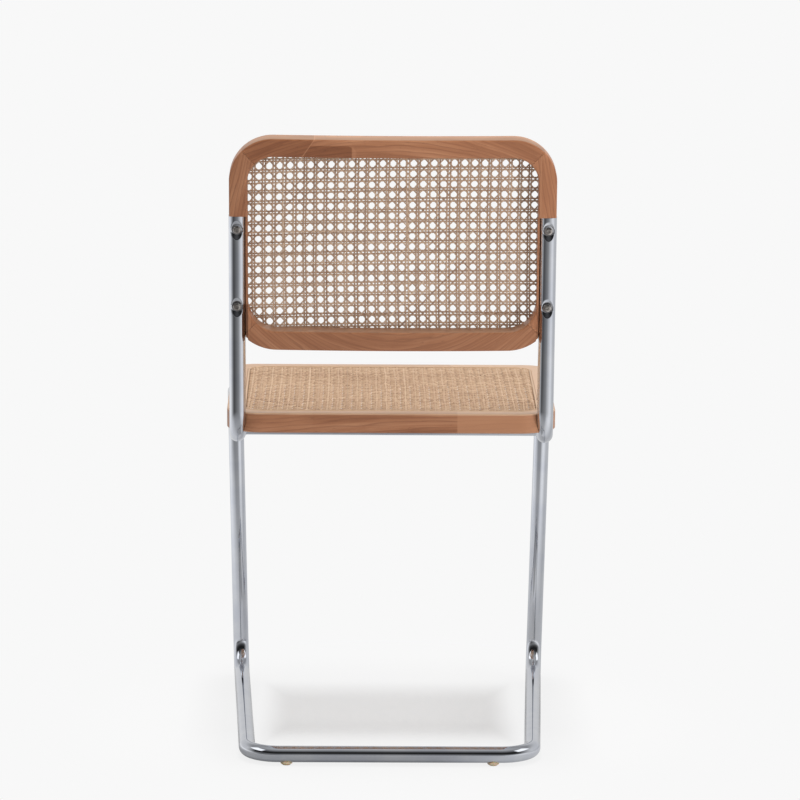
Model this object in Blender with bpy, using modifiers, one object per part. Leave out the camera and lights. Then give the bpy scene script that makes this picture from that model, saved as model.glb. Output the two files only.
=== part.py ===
# A cantilever dining chair: one bent steel tube carries a caned seat and a caned back in wooden frames.
# Metres, +Z up. The chair faces -Y, and its origin is on the floor under the middle of its box.

import math

import bmesh
import bpy
from mathutils import Matrix, Vector

# Space left between pieces that touch
GAP = 0.0003

# Steel tube, bent from one length
TUBE_DIAMETER = 0.022
TUBE_WALL = 0.0016
BEND_RADIUS = 0.044
UPRIGHT_SPACING = 0.4092
KNEE_SPREAD = 0.0332
TOE_SPREAD = 0.0172
HEEL_SPREAD = -0.0302
ELBOW_HEIGHT = 0.4283
SEAT_TUBE_RUN = 0.4145
SEAT_SLOPE = math.radians(0.6)
BACK_LEAN = math.radians(7.0)
UPRIGHT_LENGTH = 0.3049
TOE_REACH = 0.0378
HEEL_REACH = 0.0736

# Crossbar welded between the seat tubes
CROSSBAR_DIAMETER = 0.013
CROSSBAR_WALL = 0.0012
CROSSBAR_FORWARD = 0.063

# Cane, its groove and the reed spline that locks it
CANE_THICKNESS = 0.0010
CANE_LIP = 0.0010
CANE_LEDGE_WIDTH = 0.004
CANE_LEDGE_DEPTH = 0.0022
CANE_BORDER_SKIN = 0.00005
GROOVE_WIDTH = 0.005
GROOVE_DEPTH = 0.0048
SPLINE_CROWN = 0.0008
NET_PITCH = 0.0273
NET_STRAND = 0.0105

# Back frame, measured from the upper ends and the sides of the uprights
STILE_BESIDE_TUBE = 0.0101
BACK_ABOVE_TUBE = 0.1051
BACK_HEIGHT = 0.2846
BACK_THICKNESS = 0.029
BACK_BEHIND_TUBE = 0.0002
STILE_WIDTH = 0.0242
TOP_RAIL_HEIGHT = 0.0245
BOTTOM_RAIL_HEIGHT = 0.0255
BACK_TOP_RADIUS = 0.058
BACK_BOTTOM_RADIUS = 0.062
BACK_BOW = 0.008

# Seat frame, measured from the elbow corner, the knee corner and the seat tubes it is let down over
SEAT_BEHIND_ELBOW = 0.008
SEAT_BEHIND_KNEE = 0.002
SEAT_BESIDE_TUBE_REAR = 0.0150
SEAT_BESIDE_TUBE_FRONT = 0.0038
SEAT_TUBE_GROOVE = 0.0029
SEAT_RAIL_WIDTH = 0.031
SEAT_THICKNESS = 0.0265
SEAT_REAR_RADIUS = 0.050
SEAT_FRONT_RADIUS = 0.034
SEAT_INNER_RADIUS = 0.020

# Rounded edges of the wood
OUTER_EDGE_RADIUS = 0.0045
INNER_EDGE_RADIUS = 0.003

# Screws through the uprights, in pressed dimples
BACK_SCREW_DROP = 0.0184
BACK_SCREW_SPACING = 0.1043
SCREW_HEAD_DIAMETER = 0.011
SCREW_HEAD_HEIGHT = 0.0028
SCREW_RIM_HEIGHT = 0.0004
SCREW_SHANK_DIAMETER = 0.005
SCREW_SOCKET_DIAMETER = 0.004
SCREW_SOCKET_DEPTH = 0.0015
DIMPLE_DIAMETER = 0.026
DIMPLE_SLOPE = 1.6

# Screws from below through the seat tubes
SEAT_SCREW_FROM_ELBOW = 0.100
SEAT_SCREW_FROM_KNEE = 0.0745
SEAT_SCREW_REACH = 0.013
SEAT_SCREW_HEAD_HEIGHT = 0.003

# Threaded inserts in the wood
INSERT_DIAMETER = 0.008
INSERT_END_WOOD = 0.001

# Dowels across the mitres that no tube crosses
DOWEL_DIAMETER = 0.008
DOWEL_LENGTH = 0.030

# Glides under the floor tubes
GLIDE_DIAMETER = 0.016
GLIDE_TOP_DIAMETER = 0.0148
GLIDE_FOOT_DIAMETER = 0.010
GLIDE_HEIGHT = 0.0034
GLIDE_RIM_HEIGHT = 0.0022
GLIDE_WRAP = 0.003
GLIDE_STEM_DIAMETER = 0.0055
GLIDE_STEM_LENGTH = 0.006
GLIDE_FROM_HEEL = 0.0518
GLIDE_TOE_SETBACK = 0.070

# Fineness of the facets
TUBE_SIDES = 14
BORE_SIDES = 10
BEND_STEPS = 6
CORNER_STEPS = 6
RAIL_STEPS = 8
ROUND_SIDES = 12
DOME_STEPS = 3

TUBE_RADIUS = TUBE_DIAMETER / 2
KNEE_SPACING = UPRIGHT_SPACING + KNEE_SPREAD
TOE_SPACING = UPRIGHT_SPACING + TOE_SPREAD
HEEL_SPACING = UPRIGHT_SPACING + HEEL_SPREAD
SEAT_FRONT = SEAT_TUBE_RUN - SEAT_BEHIND_KNEE
BACK_HALF_WIDTH = UPRIGHT_SPACING / 2 + STILE_BESIDE_TUBE
BACK_TOP = UPRIGHT_LENGTH + BACK_ABOVE_TUBE
BACK_BOTTOM = BACK_TOP - BACK_HEIGHT
FLOOR_TUBE_HEIGHT = GLIDE_HEIGHT + TUBE_RADIUS
GROOVE_INNER = CANE_LEDGE_WIDTH
GROOVE_OUTER = CANE_LEDGE_WIDTH + GROOVE_WIDTH
CANE_MIDDLE = CANE_LEDGE_DEPTH - GAP - CANE_THICKNESS / 2
BACK_REAR_FACE = TUBE_RADIUS + BACK_BEHIND_TUBE
BACK_FRONT_FACE = BACK_REAR_FACE - BACK_THICKNESS
SEAT_GROOVE_CROWN = TUBE_RADIUS + GAP
SEAT_UNDERSIDE = SEAT_GROOVE_CROWN - SEAT_TUBE_GROOVE
SEAT_TOP = SEAT_UNDERSIDE + SEAT_THICKNESS
CROSSBAR_RADIUS = CROSSBAR_DIAMETER / 2
CROSSBAR_WELD = SEAT_UNDERSIDE - GAP - CROSSBAR_RADIUS
HEAD_RADIUS = SCREW_HEAD_DIAMETER / 2
SHANK_RADIUS = SCREW_SHANK_DIAMETER / 2
DIMPLE_FLOOR_RADIUS = HEAD_RADIUS + GAP
DIMPLE_DEPTH = (DIMPLE_DIAMETER / 2 - DIMPLE_FLOOR_RADIUS) / DIMPLE_SLOPE
DIMPLE_FLOOR = TUBE_RADIUS - DIMPLE_DEPTH


def clear_scene():
    for obj in list(bpy.data.objects):
        bpy.data.objects.remove(obj, do_unlink=True)


def new_collection(name):
    made = bpy.data.collections.new(name)
    bpy.context.scene.collection.children.link(made)
    return made


clear_scene()
PARTS = new_collection("caned_cantilever_chair")
CUTTERS = new_collection("cutters")


def new_empty(name, location=(0, 0, 0), tilt=0.0, parent=None):
    empty = bpy.data.objects.new(name, None)
    empty.location = location
    empty.rotation_euler.x = tilt
    empty.parent = parent
    PARTS.objects.link(empty)
    return empty


def new_material(name, colour, roughness, metallic=0.0):
    made = bpy.data.materials.new(name)
    made.use_nodes = True
    shader = made.node_tree.nodes["Principled BSDF"]
    shader.inputs["Base Color"].default_value = (*colour, 1.0)
    shader.inputs["Roughness"].default_value = roughness
    shader.inputs["Metallic"].default_value = metallic
    return made


def chrome():
    return new_material("chrome", (0.78, 0.79, 0.81), 0.08, 1.0)


def screw_steel():
    return new_material("screw_steel", (0.55, 0.53, 0.50), 0.3, 1.0)


def brass():
    return new_material("brass", (0.72, 0.55, 0.28), 0.35, 1.0)


def beech():
    return new_material("beech", (0.42, 0.21, 0.11), 0.45)


def cane():
    return new_material("cane", (0.55, 0.36, 0.21), 0.55)


def nylon():
    return new_material("nylon", (0.72, 0.60, 0.38), 0.4)


def add_part(name, mesh, material, parent, matrix=None):
    """Links a mesh as one named part of the chair."""
    obj = bpy.data.objects.new(name, mesh)
    mesh.materials.clear()
    mesh.materials.append(material)
    mesh.shade_smooth()
    mesh.set_sharp_from_angle(angle=math.radians(35))
    obj.parent = parent
    if matrix is not None:
        obj.matrix_local = matrix
    PARTS.objects.link(obj)
    return obj


def add_cutter(name, mesh, parent, matrix=None):
    obj = bpy.data.objects.new(name, mesh)
    obj.parent = parent
    if matrix is not None:
        obj.matrix_local = matrix
    obj.hide_render = True
    obj.display_type = "WIRE"
    CUTTERS.objects.link(obj)
    return obj


def combine(obj, other, operation="DIFFERENCE"):
    modifier = obj.modifiers.new(f"{operation.lower()}_{other.name}", "BOOLEAN")
    modifier.operation = operation
    modifier.solver = "EXACT"
    modifier.object = other


def evaluated_mesh(obj):
    """The object's mesh after its modifiers, in its own space."""
    bpy.context.view_layer.update()
    graph = bpy.context.evaluated_depsgraph_get()
    return bpy.data.meshes.new_from_object(obj.evaluated_get(graph))


def finish_bmesh(name, form):
    bmesh.ops.recalc_face_normals(form, faces=form.faces)
    mesh = bpy.data.meshes.new(name)
    form.to_mesh(mesh)
    form.free()
    return mesh


def mesh_from_curve(name, curve):
    """A closed mesh made from a curve, with its caps welded."""
    obj = bpy.data.objects.new(name, curve)
    CUTTERS.objects.link(obj)
    mesh = evaluated_mesh(obj)
    bpy.data.objects.remove(obj, do_unlink=True)
    form = bmesh.new()
    form.from_mesh(mesh)
    bmesh.ops.remove_doubles(form, verts=form.verts, dist=1e-6)
    return finish_bmesh(name, form)


def tube_mesh(name, points, radius, sides, shares=None):
    """A solid round bar along the points, each with its own share of the radius where shares are given."""
    curve = bpy.data.curves.new(name, "CURVE")
    curve.dimensions = "3D"
    curve.bevel_depth = radius
    curve.bevel_resolution = (sides - 4) // 2
    curve.use_fill_caps = True
    spline = curve.splines.new("POLY")
    spline.points.add(len(points) - 1)
    for index, point in enumerate(points):
        spline.points[index].co = (*point, 1.0)
        spline.points[index].radius = shares[index] if shares else 1.0
    return mesh_from_curve(name, curve)


def plate_mesh(name, outline, thickness):
    """A flat outline in XY, with its thickness centred on Z = 0."""
    curve = bpy.data.curves.new(name, "CURVE")
    curve.dimensions = "2D"
    curve.fill_mode = "BOTH"
    curve.extrude = thickness / 2
    spline = curve.splines.new("POLY")
    spline.use_cyclic_u = True
    spline.points.add(len(outline) - 1)
    for target, point in zip(spline.points, outline):
        target.co = (point[0], point[1], 0.0, 1.0)
    return mesh_from_curve(name, curve)


def cone_mesh(name, bottom_radius, top_radius, bottom, top, sides=ROUND_SIDES):
    """A cone or cylinder about Z, from the height bottom to the height top."""
    form = bmesh.new()
    ends = {"radius1": bottom_radius, "radius2": top_radius, "depth": top - bottom}
    bmesh.ops.create_cone(form, cap_ends=True, segments=sides, **ends)
    bmesh.ops.translate(form, verts=form.verts, vec=(0, 0, (top + bottom) / 2))
    return finish_bmesh(name, form)


def turned_mesh(name, profile, sides=ROUND_SIDES):
    """A profile of (radius, height) points, run from the top down, turned about Z."""
    mesh = bpy.data.meshes.new(name)
    points = [(radius, 0.0, height) for radius, height in profile]
    mesh.from_pydata(points, [(i, i + 1) for i in range(len(points) - 1)], [])
    obj = bpy.data.objects.new(name, mesh)
    CUTTERS.objects.link(obj)
    screw = obj.modifiers.new("turn", "SCREW")
    screw.steps = sides
    screw.render_steps = sides
    screw.use_merge_vertices = True
    screw.merge_threshold = 0.00005
    made = evaluated_mesh(obj)
    bpy.data.objects.remove(obj, do_unlink=True)
    form = bmesh.new()
    form.from_mesh(made)
    return finish_bmesh(name, form)


def rounded_corner(before, corner, after, radius, steps):
    """Points of the arc that rounds a corner between two straight runs."""
    arriving = (corner - before).normalized()
    leaving = (after - corner).normalized()
    turn = arriving.angle(leaving)
    start = corner - arriving * radius * math.tan(turn / 2)
    inward = (leaving - arriving).normalized()
    centre = corner + inward * radius / math.cos(turn / 2)
    axis = arriving.cross(leaving).normalized()
    arc = []
    for step in range(steps + 1):
        spin = Matrix.Rotation(turn * step / steps, 3, axis)
        arc.append(centre + spin @ (start - centre))
    return arc


def tube_corners():
    """The corners of the tube's centre line, from one upright's top round the floor to the other's."""
    knee_height = ELBOW_HEIGHT + SEAT_TUBE_RUN * math.tan(SEAT_SLOPE)
    elbow = Vector((UPRIGHT_SPACING / 2, 0, ELBOW_HEIGHT))
    top = elbow + UPRIGHT_LENGTH * Vector((0, math.sin(BACK_LEAN), math.cos(BACK_LEAN)))
    knee = Vector((KNEE_SPACING / 2, -SEAT_TUBE_RUN, knee_height))
    toe = Vector((TOE_SPACING / 2, -SEAT_TUBE_RUN - TOE_REACH, FLOOR_TUBE_HEIGHT))
    heel = Vector((HEEL_SPACING / 2, HEEL_REACH, FLOOR_TUBE_HEIGHT))
    one_side = [top, elbow, knee, toe, heel]
    other_side = [Vector((-point.x, point.y, point.z)) for point in reversed(one_side)]
    return one_side + other_side


def tube_path(extra=0.0):
    """The centre line with its bends, its two ends lengthened by extra."""
    corners = tube_corners()
    lengthen = (corners[0] - corners[1]).normalized() * extra
    path = [corners[0] + lengthen]
    for before, corner, after in zip(corners, corners[1:], corners[2:]):
        path += rounded_corner(before, corner, after, BEND_RADIUS, BEND_STEPS)
    path.append(Vector((-path[0].x, path[0].y, path[0].z)))
    return path


def seat_tube_half(forward):
    """Half the distance between the seat tubes at a place in front of the elbows."""
    return (UPRIGHT_SPACING + (KNEE_SPACING - UPRIGHT_SPACING) * forward / SEAT_TUBE_RUN) / 2


def runner_half(back_from_toe):
    """Half the distance between the floor runners at a place behind the toes."""
    length = SEAT_TUBE_RUN + TOE_REACH + HEEL_REACH
    return (TOE_SPACING + (HEEL_SPACING - TOE_SPACING) * back_from_toe / length) / 2


def facing_back(x, height, depth=0.0):
    """A placement in the back's frame whose Z runs out of the rear."""
    return Matrix.Translation((x, depth, height)) @ Matrix.Rotation(math.radians(-90), 4, "X")


def glide_places():
    """Where each glide stands, with the heading of the tube above it."""
    toe_back = GLIDE_TOE_SETBACK
    heel_x = HEEL_SPACING / 2 - GLIDE_FROM_HEEL
    toe_x = runner_half(toe_back)
    toe_y = -SEAT_TUBE_RUN - TOE_REACH + toe_back
    run = Vector((HEEL_SPACING - TOE_SPACING, 2 * (SEAT_TUBE_RUN + TOE_REACH + HEEL_REACH)))
    heading = math.atan2(run.y, run.x)
    return [
        ("glide_rear_right", heel_x, HEEL_REACH, 0.0),
        ("glide_rear_left", -heel_x, HEEL_REACH, 0.0),
        ("glide_front_right", toe_x, toe_y, heading),
        ("glide_front_left", -toe_x, toe_y, math.pi - heading),
    ]


def back_screw_places():
    sides = (("right", 1), ("left", -1))
    upper = UPRIGHT_LENGTH - BACK_SCREW_DROP
    rows = (("lower", upper - BACK_SCREW_SPACING), ("upper", upper))
    return [(f"{side}_{row}", sign * UPRIGHT_SPACING / 2, up) for side, sign in sides for row, up in rows]


def seat_screw_places():
    sides = (("right", 1), ("left", -1))
    rows = (("rear", SEAT_SCREW_FROM_ELBOW), ("front", SEAT_TUBE_RUN - SEAT_SCREW_FROM_KNEE))
    return [(f"{side}_{row}", sign * seat_tube_half(on), on) for side, sign in sides for row, on in rows]


def make_tube(chair, back, seat, metal):
    """The bent tube: hollow, with a pressed dimple at each back screw and holes for every fixing."""
    bar = tube_mesh("frame_tube", tube_path(), TUBE_RADIUS, TUBE_SIDES)
    tube = add_part("frame_tube", bar, metal, chair)
    bore_radius = TUBE_RADIUS - TUBE_WALL
    bore_solid = tube_mesh("tube_bore", tube_path(TUBE_WALL), bore_radius, BORE_SIDES)
    bore = add_cutter("tube_bore", bore_solid, chair)
    cup = cone_mesh(
        "dimple_cup",
        DIMPLE_FLOOR_RADIUS + TUBE_WALL,
        DIMPLE_FLOOR_RADIUS + TUBE_WALL + DIMPLE_SLOPE * (DIMPLE_DEPTH + TUBE_WALL),
        DIMPLE_FLOOR - TUBE_WALL,
        TUBE_RADIUS,
    )
    dish = cone_mesh(
        "dimple_dish",
        DIMPLE_FLOOR_RADIUS,
        DIMPLE_DIAMETER / 2 + DIMPLE_SLOPE * TUBE_WALL,
        DIMPLE_FLOOR,
        TUBE_RADIUS + TUBE_WALL,
    )
    hole_radius = SHANK_RADIUS + GAP
    hole = cone_mesh("screw_hole", hole_radius, hole_radius, -TUBE_DIAMETER, TUBE_DIAMETER)
    for name, x, up in back_screw_places():
        at = facing_back(x, up)
        combine(bore, add_cutter(f"cup_{name}", cup, back, at))
    combine(tube, bore)
    for name, x, up in back_screw_places():
        at = facing_back(x, up)
        combine(tube, add_cutter(f"dish_{name}", dish, back, at))
        combine(tube, add_cutter(f"hole_{name}", hole, back, at))
    for name, x, forward in seat_screw_places():
        at = Matrix.Translation((x, -forward, 0))
        combine(tube, add_cutter(f"seat_hole_{name}", hole, seat, at))
    stem_radius = GLIDE_STEM_DIAMETER / 2 + GAP
    stem_hole = cone_mesh("stem_hole", stem_radius, stem_radius, 0, FLOOR_TUBE_HEIGHT)
    for name, x, y, heading in glide_places():
        at = Matrix.Translation((x, y, 0))
        combine(tube, add_cutter(f"hole_{name}", stem_hole, chair, at))


def tube_envelope(chair):
    """The space that the tube fills, with the gap round it, to cut whatever it meets."""
    fat = tube_mesh("tube_envelope", tube_path(GAP), TUBE_RADIUS + GAP, TUBE_SIDES)
    return add_cutter("tube_envelope", fat, chair)


def make_crossbar(seat, envelope, metal):
    """The crossbar swells at its ends, where it is welded, and is shaped to fit round the seat tubes."""
    middle = seat_tube_half(CROSSBAR_FORWARD)
    weld_start = middle - TUBE_RADIUS - CROSSBAR_WELD
    weld_share = 1 + CROSSBAR_WELD / CROSSBAR_RADIUS
    half = [(middle, weld_share), (middle - TUBE_RADIUS, weld_share), (weld_start, 1)]
    row = half + [(-x, share) for x, share in reversed(half)]
    points = [Vector((x, -CROSSBAR_FORWARD, 0)) for x, share in row]
    shares = [share for x, share in row]
    solid = tube_mesh("bar", points, CROSSBAR_RADIUS, ROUND_SIDES, shares)
    bar = add_part("seat_crossbar", solid, metal, seat)
    bore_half = middle + TUBE_WALL
    bore_ends = [Vector((sign * bore_half, -CROSSBAR_FORWARD, 0)) for sign in (1, -1)]
    bore_solid = tube_mesh("bar_bore", bore_ends, CROSSBAR_RADIUS - CROSSBAR_WALL, BORE_SIDES)
    bore = add_cutter("crossbar_bore", bore_solid, seat)
    combine(bar, envelope)
    combine(bar, bore)


def frame_ring(outer, inner, outer_radii, inner_radii):
    """For each corner of a frame, the matched points of its inner and outer arcs."""
    ring = []
    count = len(outer)
    for i in range(count):
        arcs = []
        for corners, radii in ((inner, inner_radii), (outer, outer_radii)):
            around = [corners[i - 1], corners[i], corners[(i + 1) % count]]
            flat = [Vector((*point, 0.0)) for point in around]
            arcs.append(rounded_corner(*flat, radii[i], CORNER_STEPS))
        ring.append(list(zip(*arcs)))
    return ring


def between(first, last, steps):
    """Matched points between two stations of a ring, both ends left out."""
    found = []
    for step in range(1, steps):
        share = step / steps
        found.append((first[0].lerp(last[0], share), first[1].lerp(last[1], share)))
    return found


def mitred_piece(ring, index, steps):
    """The stations of one piece, from the middle of one corner to the middle of the next, less the gap."""
    half = CORNER_STEPS // 2
    corner = ring[index]
    following = ring[(index + 1) % len(ring)]
    stations = corner[half:] + between(corner[-1], following[0], steps) + following[: half + 1]
    for end, neighbour in ((0, 1), (-1, -2)):
        inner, outer = stations[end]
        along = (outer - inner).cross(Vector((0, 0, 1))).normalized()
        if along.dot(stations[neighbour][0] - inner) < 0:
            along = -along
        step = along * GAP / 2
        stations[end] = (inner + step, outer + step)
    return stations


def whole_ring(ring, steps):
    """The stations of the whole frame; steps gives each side's share of steps."""
    stations = []
    for i, corner in enumerate(ring):
        following = ring[(i + 1) % len(ring)]
        stations += corner + between(corner[-1], following[0], steps[i % len(steps)])
    return stations


def loft(name, stations, section, place, closed=False):
    """Skins a section along the stations.

    A section point is (from_inner, distance, depth below the caned face).
    """
    form = bmesh.new()
    rows = []
    for inner, outer in stations:
        across = (outer - inner).normalized()
        row = []
        for from_inner, distance, depth in section:
            flat = inner + across * distance if from_inner else outer - across * distance
            row.append(form.verts.new(place(flat.x, flat.y, depth)))
        rows.append(row)
    pairs = list(zip(rows, rows[1:]))
    if closed:
        pairs.append((rows[-1], rows[0]))
    count = len(section)
    for here, there in pairs:
        for i in range(count):
            j = (i + 1) % count
            form.faces.new((here[i], here[j], there[j], there[i]))
    if not closed:
        form.faces.new(rows[0])
        form.faces.new(rows[-1])
    return finish_bmesh(name, form)


def rounding(from_inner, centre_distance, centre_depth, radius, start, steps=2):
    """A quarter round of the section; start is the angle of its first point, in quarter turns."""
    points = []
    for step in range(steps + 1):
        angle = math.radians(90) * (start + step / steps)
        distance = centre_distance - radius * math.cos(angle)
        points.append((from_inner, distance, centre_depth - radius * math.sin(angle)))
    return points


def wood_section(thickness):
    """The cross-section of a rail: cane ledge, spline groove and rounded edges."""
    outer = OUTER_EDGE_RADIUS
    inner = INNER_EDGE_RADIUS
    caned_side = [
        (True, 0.0, CANE_LEDGE_DEPTH),
        (True, GROOVE_INNER, CANE_LEDGE_DEPTH),
        (True, GROOVE_INNER, GROOVE_DEPTH),
        (True, GROOVE_OUTER, GROOVE_DEPTH),
        (True, GROOVE_OUTER, 0.0),
    ]
    near_edge = list(reversed(rounding(False, outer, outer, outer, 0)))
    far_edge = list(reversed(rounding(False, outer, thickness - outer, outer, -1)))
    inner_edge = rounding(True, inner, thickness - inner, inner, -1)
    return caned_side + near_edge + far_edge + inner_edge


def cane_border_section():
    """The cane's edge: over the ledge, then turned down into the groove. A little thicker than the net."""
    top = CANE_LEDGE_DEPTH - GAP - CANE_THICKNESS - CANE_BORDER_SKIN
    under = CANE_LEDGE_DEPTH - GAP + CANE_BORDER_SKIN
    lip_inner = GROOVE_INNER + GAP
    lip_outer = lip_inner + CANE_LIP
    foot = GROOVE_DEPTH - GAP
    inside = -GROOVE_INNER / 2
    return [
        (True, inside, top),
        (True, lip_outer, top),
        (True, lip_outer, foot),
        (True, lip_inner, foot),
        (True, lip_inner, under),
        (True, inside, under),
    ]


def spline_section():
    """The reed spline: crowned, beside the cane's edge in the groove."""
    near = GROOVE_INNER + 2 * GAP + CANE_LIP
    far = GROOVE_OUTER - GAP
    foot = GROOVE_DEPTH - GAP
    return [
        (True, near, SPLINE_CROWN / 2),
        (True, (near + far) / 2, -SPLINE_CROWN / 2),
        (True, far, SPLINE_CROWN / 2),
        (True, far, foot),
        (True, near, foot),
    ]


def net_mesh(name, outline, stations):
    """A square net cut to the outline, joined to its border while both are flat."""
    xs = [point.x for point in outline]
    ys = [point.y for point in outline]
    wide = max(xs) - min(xs)
    high = max(ys) - min(ys)
    across = max(1, math.floor(wide / NET_PITCH))
    up = max(1, math.floor(high / NET_PITCH))
    middle = (min(xs) + wide / 2, min(ys) + high / 2, 0)
    form = bmesh.new()
    bmesh.ops.create_grid(form, x_segments=across, y_segments=up, size=0.5)
    bmesh.ops.scale(form, verts=form.verts, vec=(wide + NET_STRAND, high + NET_STRAND, 1))
    bmesh.ops.translate(form, verts=form.verts, vec=middle)
    cells = list(form.faces)
    bmesh.ops.inset_individual(form, faces=cells, thickness=NET_STRAND / 2)
    bmesh.ops.delete(form, geom=cells, context="FACES")
    flat = bpy.data.meshes.new(name)
    form.to_mesh(flat)
    form.free()
    net = add_cutter(f"{name}_flat", flat, None)
    thicken = net.modifiers.new("thicken", "SOLIDIFY")
    thicken.thickness = CANE_THICKNESS
    thicken.offset = 0.0
    trim = add_cutter(f"{name}_trim", plate_mesh(name, outline, 4 * CANE_THICKNESS), None)
    combine(net, trim, "INTERSECT")
    edge = loft(name, stations, cane_border_section(), place_flat, closed=True)
    border = add_cutter(f"{name}_border", edge, None)
    combine(net, border, "UNION")
    made = evaluated_mesh(net)
    for obj in (net, trim, border):
        bpy.data.objects.remove(obj, do_unlink=True)
    return made


def place_flat(x, y, depth):
    return Vector((x, y, CANE_MIDDLE - depth))


def make_cane(name, ring, steps, parent, place, material):
    """The woven panel as a net, with its border and the spline that holds it."""
    stations = whole_ring(ring, steps)
    inside = GROOVE_INNER / 4
    outline = [inner - (outer - inner).normalized() * inside for inner, outer in stations]
    net = net_mesh(f"{name}_net", outline, stations)
    for vertex in net.vertices:
        vertex.co = place(vertex.co.x, vertex.co.y, CANE_MIDDLE - vertex.co.z)
    form = bmesh.new()
    form.from_mesh(net)
    add_part(f"{name}_cane", finish_bmesh(f"{name}_cane", form), material, parent)
    spline = loft(f"{name}_spline", stations, spline_section(), place, closed=True)
    add_part(f"{name}_spline", spline, material, parent)


def bow(x):
    """How far the back curves rearward of the line between the uprights."""
    return BACK_BOW * (1 - (2 * x / UPRIGHT_SPACING) ** 2)


def place_back(x, up, depth):
    return Vector((x, BACK_FRONT_FACE + depth + bow(x), up))


def place_seat(x, y, depth):
    return Vector((x, y, SEAT_TOP - depth))


def back_ring():
    half = BACK_HALF_WIDTH
    inner_half = half - STILE_WIDTH
    low = BACK_BOTTOM + BOTTOM_RAIL_HEIGHT
    high = BACK_TOP - TOP_RAIL_HEIGHT
    outer = [(half, BACK_BOTTOM), (half, BACK_TOP), (-half, BACK_TOP), (-half, BACK_BOTTOM)]
    inner = [(inner_half, low), (inner_half, high), (-inner_half, high), (-inner_half, low)]
    radii = [BACK_BOTTOM_RADIUS, BACK_TOP_RADIUS, BACK_TOP_RADIUS, BACK_BOTTOM_RADIUS]
    return frame_ring(outer, inner, radii, [radius - STILE_WIDTH for radius in radii])


def corners_of_taper(rear_half, rear_y, front_half, front_y):
    """The four corners of a symmetric outline, from the rear right round by the left."""
    return [(rear_half, rear_y), (-rear_half, rear_y), (-front_half, front_y), (front_half, front_y)]


def seat_ring():
    """The seat's outline narrows to the rear; y runs rearward, so the front is negative."""
    rear = UPRIGHT_SPACING / 2 + SEAT_BESIDE_TUBE_REAR
    front = KNEE_SPACING / 2 + SEAT_BESIDE_TUBE_FRONT
    slant = math.atan2(front - rear, SEAT_FRONT + SEAT_BEHIND_ELBOW)
    inset = SEAT_RAIL_WIDTH / math.cos(slant)
    taper = SEAT_RAIL_WIDTH * math.tan(slant)
    outer = corners_of_taper(rear, SEAT_BEHIND_ELBOW, front, -SEAT_FRONT)
    inner_rear = SEAT_BEHIND_ELBOW - SEAT_RAIL_WIDTH
    inner_front = SEAT_RAIL_WIDTH - SEAT_FRONT
    inner = corners_of_taper(rear - inset + taper, inner_rear, front - inset - taper, inner_front)
    outer_radii = [SEAT_REAR_RADIUS] * 2 + [SEAT_FRONT_RADIUS] * 2
    return frame_ring(outer, inner, outer_radii, [SEAT_INNER_RADIUS] * 4)


def tube_slot(parent, name, side):
    """The groove for an upright: round in front, open at the rear, closed above the tube's end."""
    radius = TUBE_RADIUS + GAP
    outline = [(radius, BACK_THICKNESS), (-radius, BACK_THICKNESS)]
    for step in range(RAIL_STEPS + 1):
        angle = math.pi * (1 + step / RAIL_STEPS)
        outline.append((radius * math.cos(angle), radius * math.sin(angle)))
    length = UPRIGHT_LENGTH + GAP
    at = Matrix.Translation((side * UPRIGHT_SPACING / 2, 0, length / 2))
    return add_cutter(name, plate_mesh(name, outline, length), parent, at)


def make_back(back, wood, cane_material):
    ring = back_ring()
    section = wood_section(BACK_THICKNESS)
    names = ("back_right_stile", "back_top_rail", "back_left_stile", "back_bottom_rail")
    slots = [tube_slot(back, "slot_right", 1), tube_slot(back, "slot_left", -1)]
    for index, name in enumerate(names):
        steps = 2 if "stile" in name else RAIL_STEPS
        lofted = loft(name, mitred_piece(ring, index, steps), section, place_back)
        piece = add_part(name, lofted, wood, back)
        for slot in slots:
            if name == "back_bottom_rail" or slot.name[5:] in name:
                combine(piece, slot)
    make_cane("back", ring, (2, RAIL_STEPS), back, place_back, cane_material)
    return ring


def make_seat(seat, envelope, wood, cane_material):
    ring = seat_ring()
    section = wood_section(SEAT_THICKNESS)
    names = ("seat_rear_rail", "seat_left_rail", "seat_front_rail", "seat_right_rail")
    for index, name in enumerate(names):
        lofted = loft(name, mitred_piece(ring, index, 1), section, place_seat)
        combine(add_part(name, lofted, wood, seat), envelope)
    make_cane("seat", ring, (1,), seat, place_seat, cane_material)
    return ring


def find_part(name):
    return PARTS.objects[name]


def mitre_middle(ring, index, depth_share, thickness):
    """The centre of a mitre, the way the wood runs there, and its depth below the caned face."""
    half = CORNER_STEPS // 2
    inner, outer = ring[index][half]
    across = (outer - inner).normalized()
    return inner.lerp(outer, 0.5), across.cross(Vector((0, 0, 1))), thickness * depth_share


def make_dowels(ring, corners, place, parent, pieces, thickness, wood):
    """Dowels across the mitres, with a hole for each in both of its pieces."""
    for label, index in corners:
        middle, along, depth = mitre_middle(ring, index, 0.6, thickness)
        half = DOWEL_LENGTH / 2
        ends = [place(*(middle + along * sign * half).xy, depth) for sign in (1, -1)]
        centre = (ends[0] + ends[1]) / 2
        reach = (ends[0] - ends[1]).normalized()
        name = f"dowel_{label}"
        add_part(name, tube_mesh(name, ends, DOWEL_DIAMETER / 2, ROUND_SIDES), wood, parent)
        hole_half = half + GAP
        hole_ends = [centre + reach * hole_half, centre - reach * hole_half]
        hole = tube_mesh(f"{name}_hole", hole_ends, DOWEL_DIAMETER / 2 + GAP, ROUND_SIDES)
        cutter = add_cutter(f"{name}_hole", hole, parent)
        for piece in pieces[label]:
            combine(find_part(piece), cutter)


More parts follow.
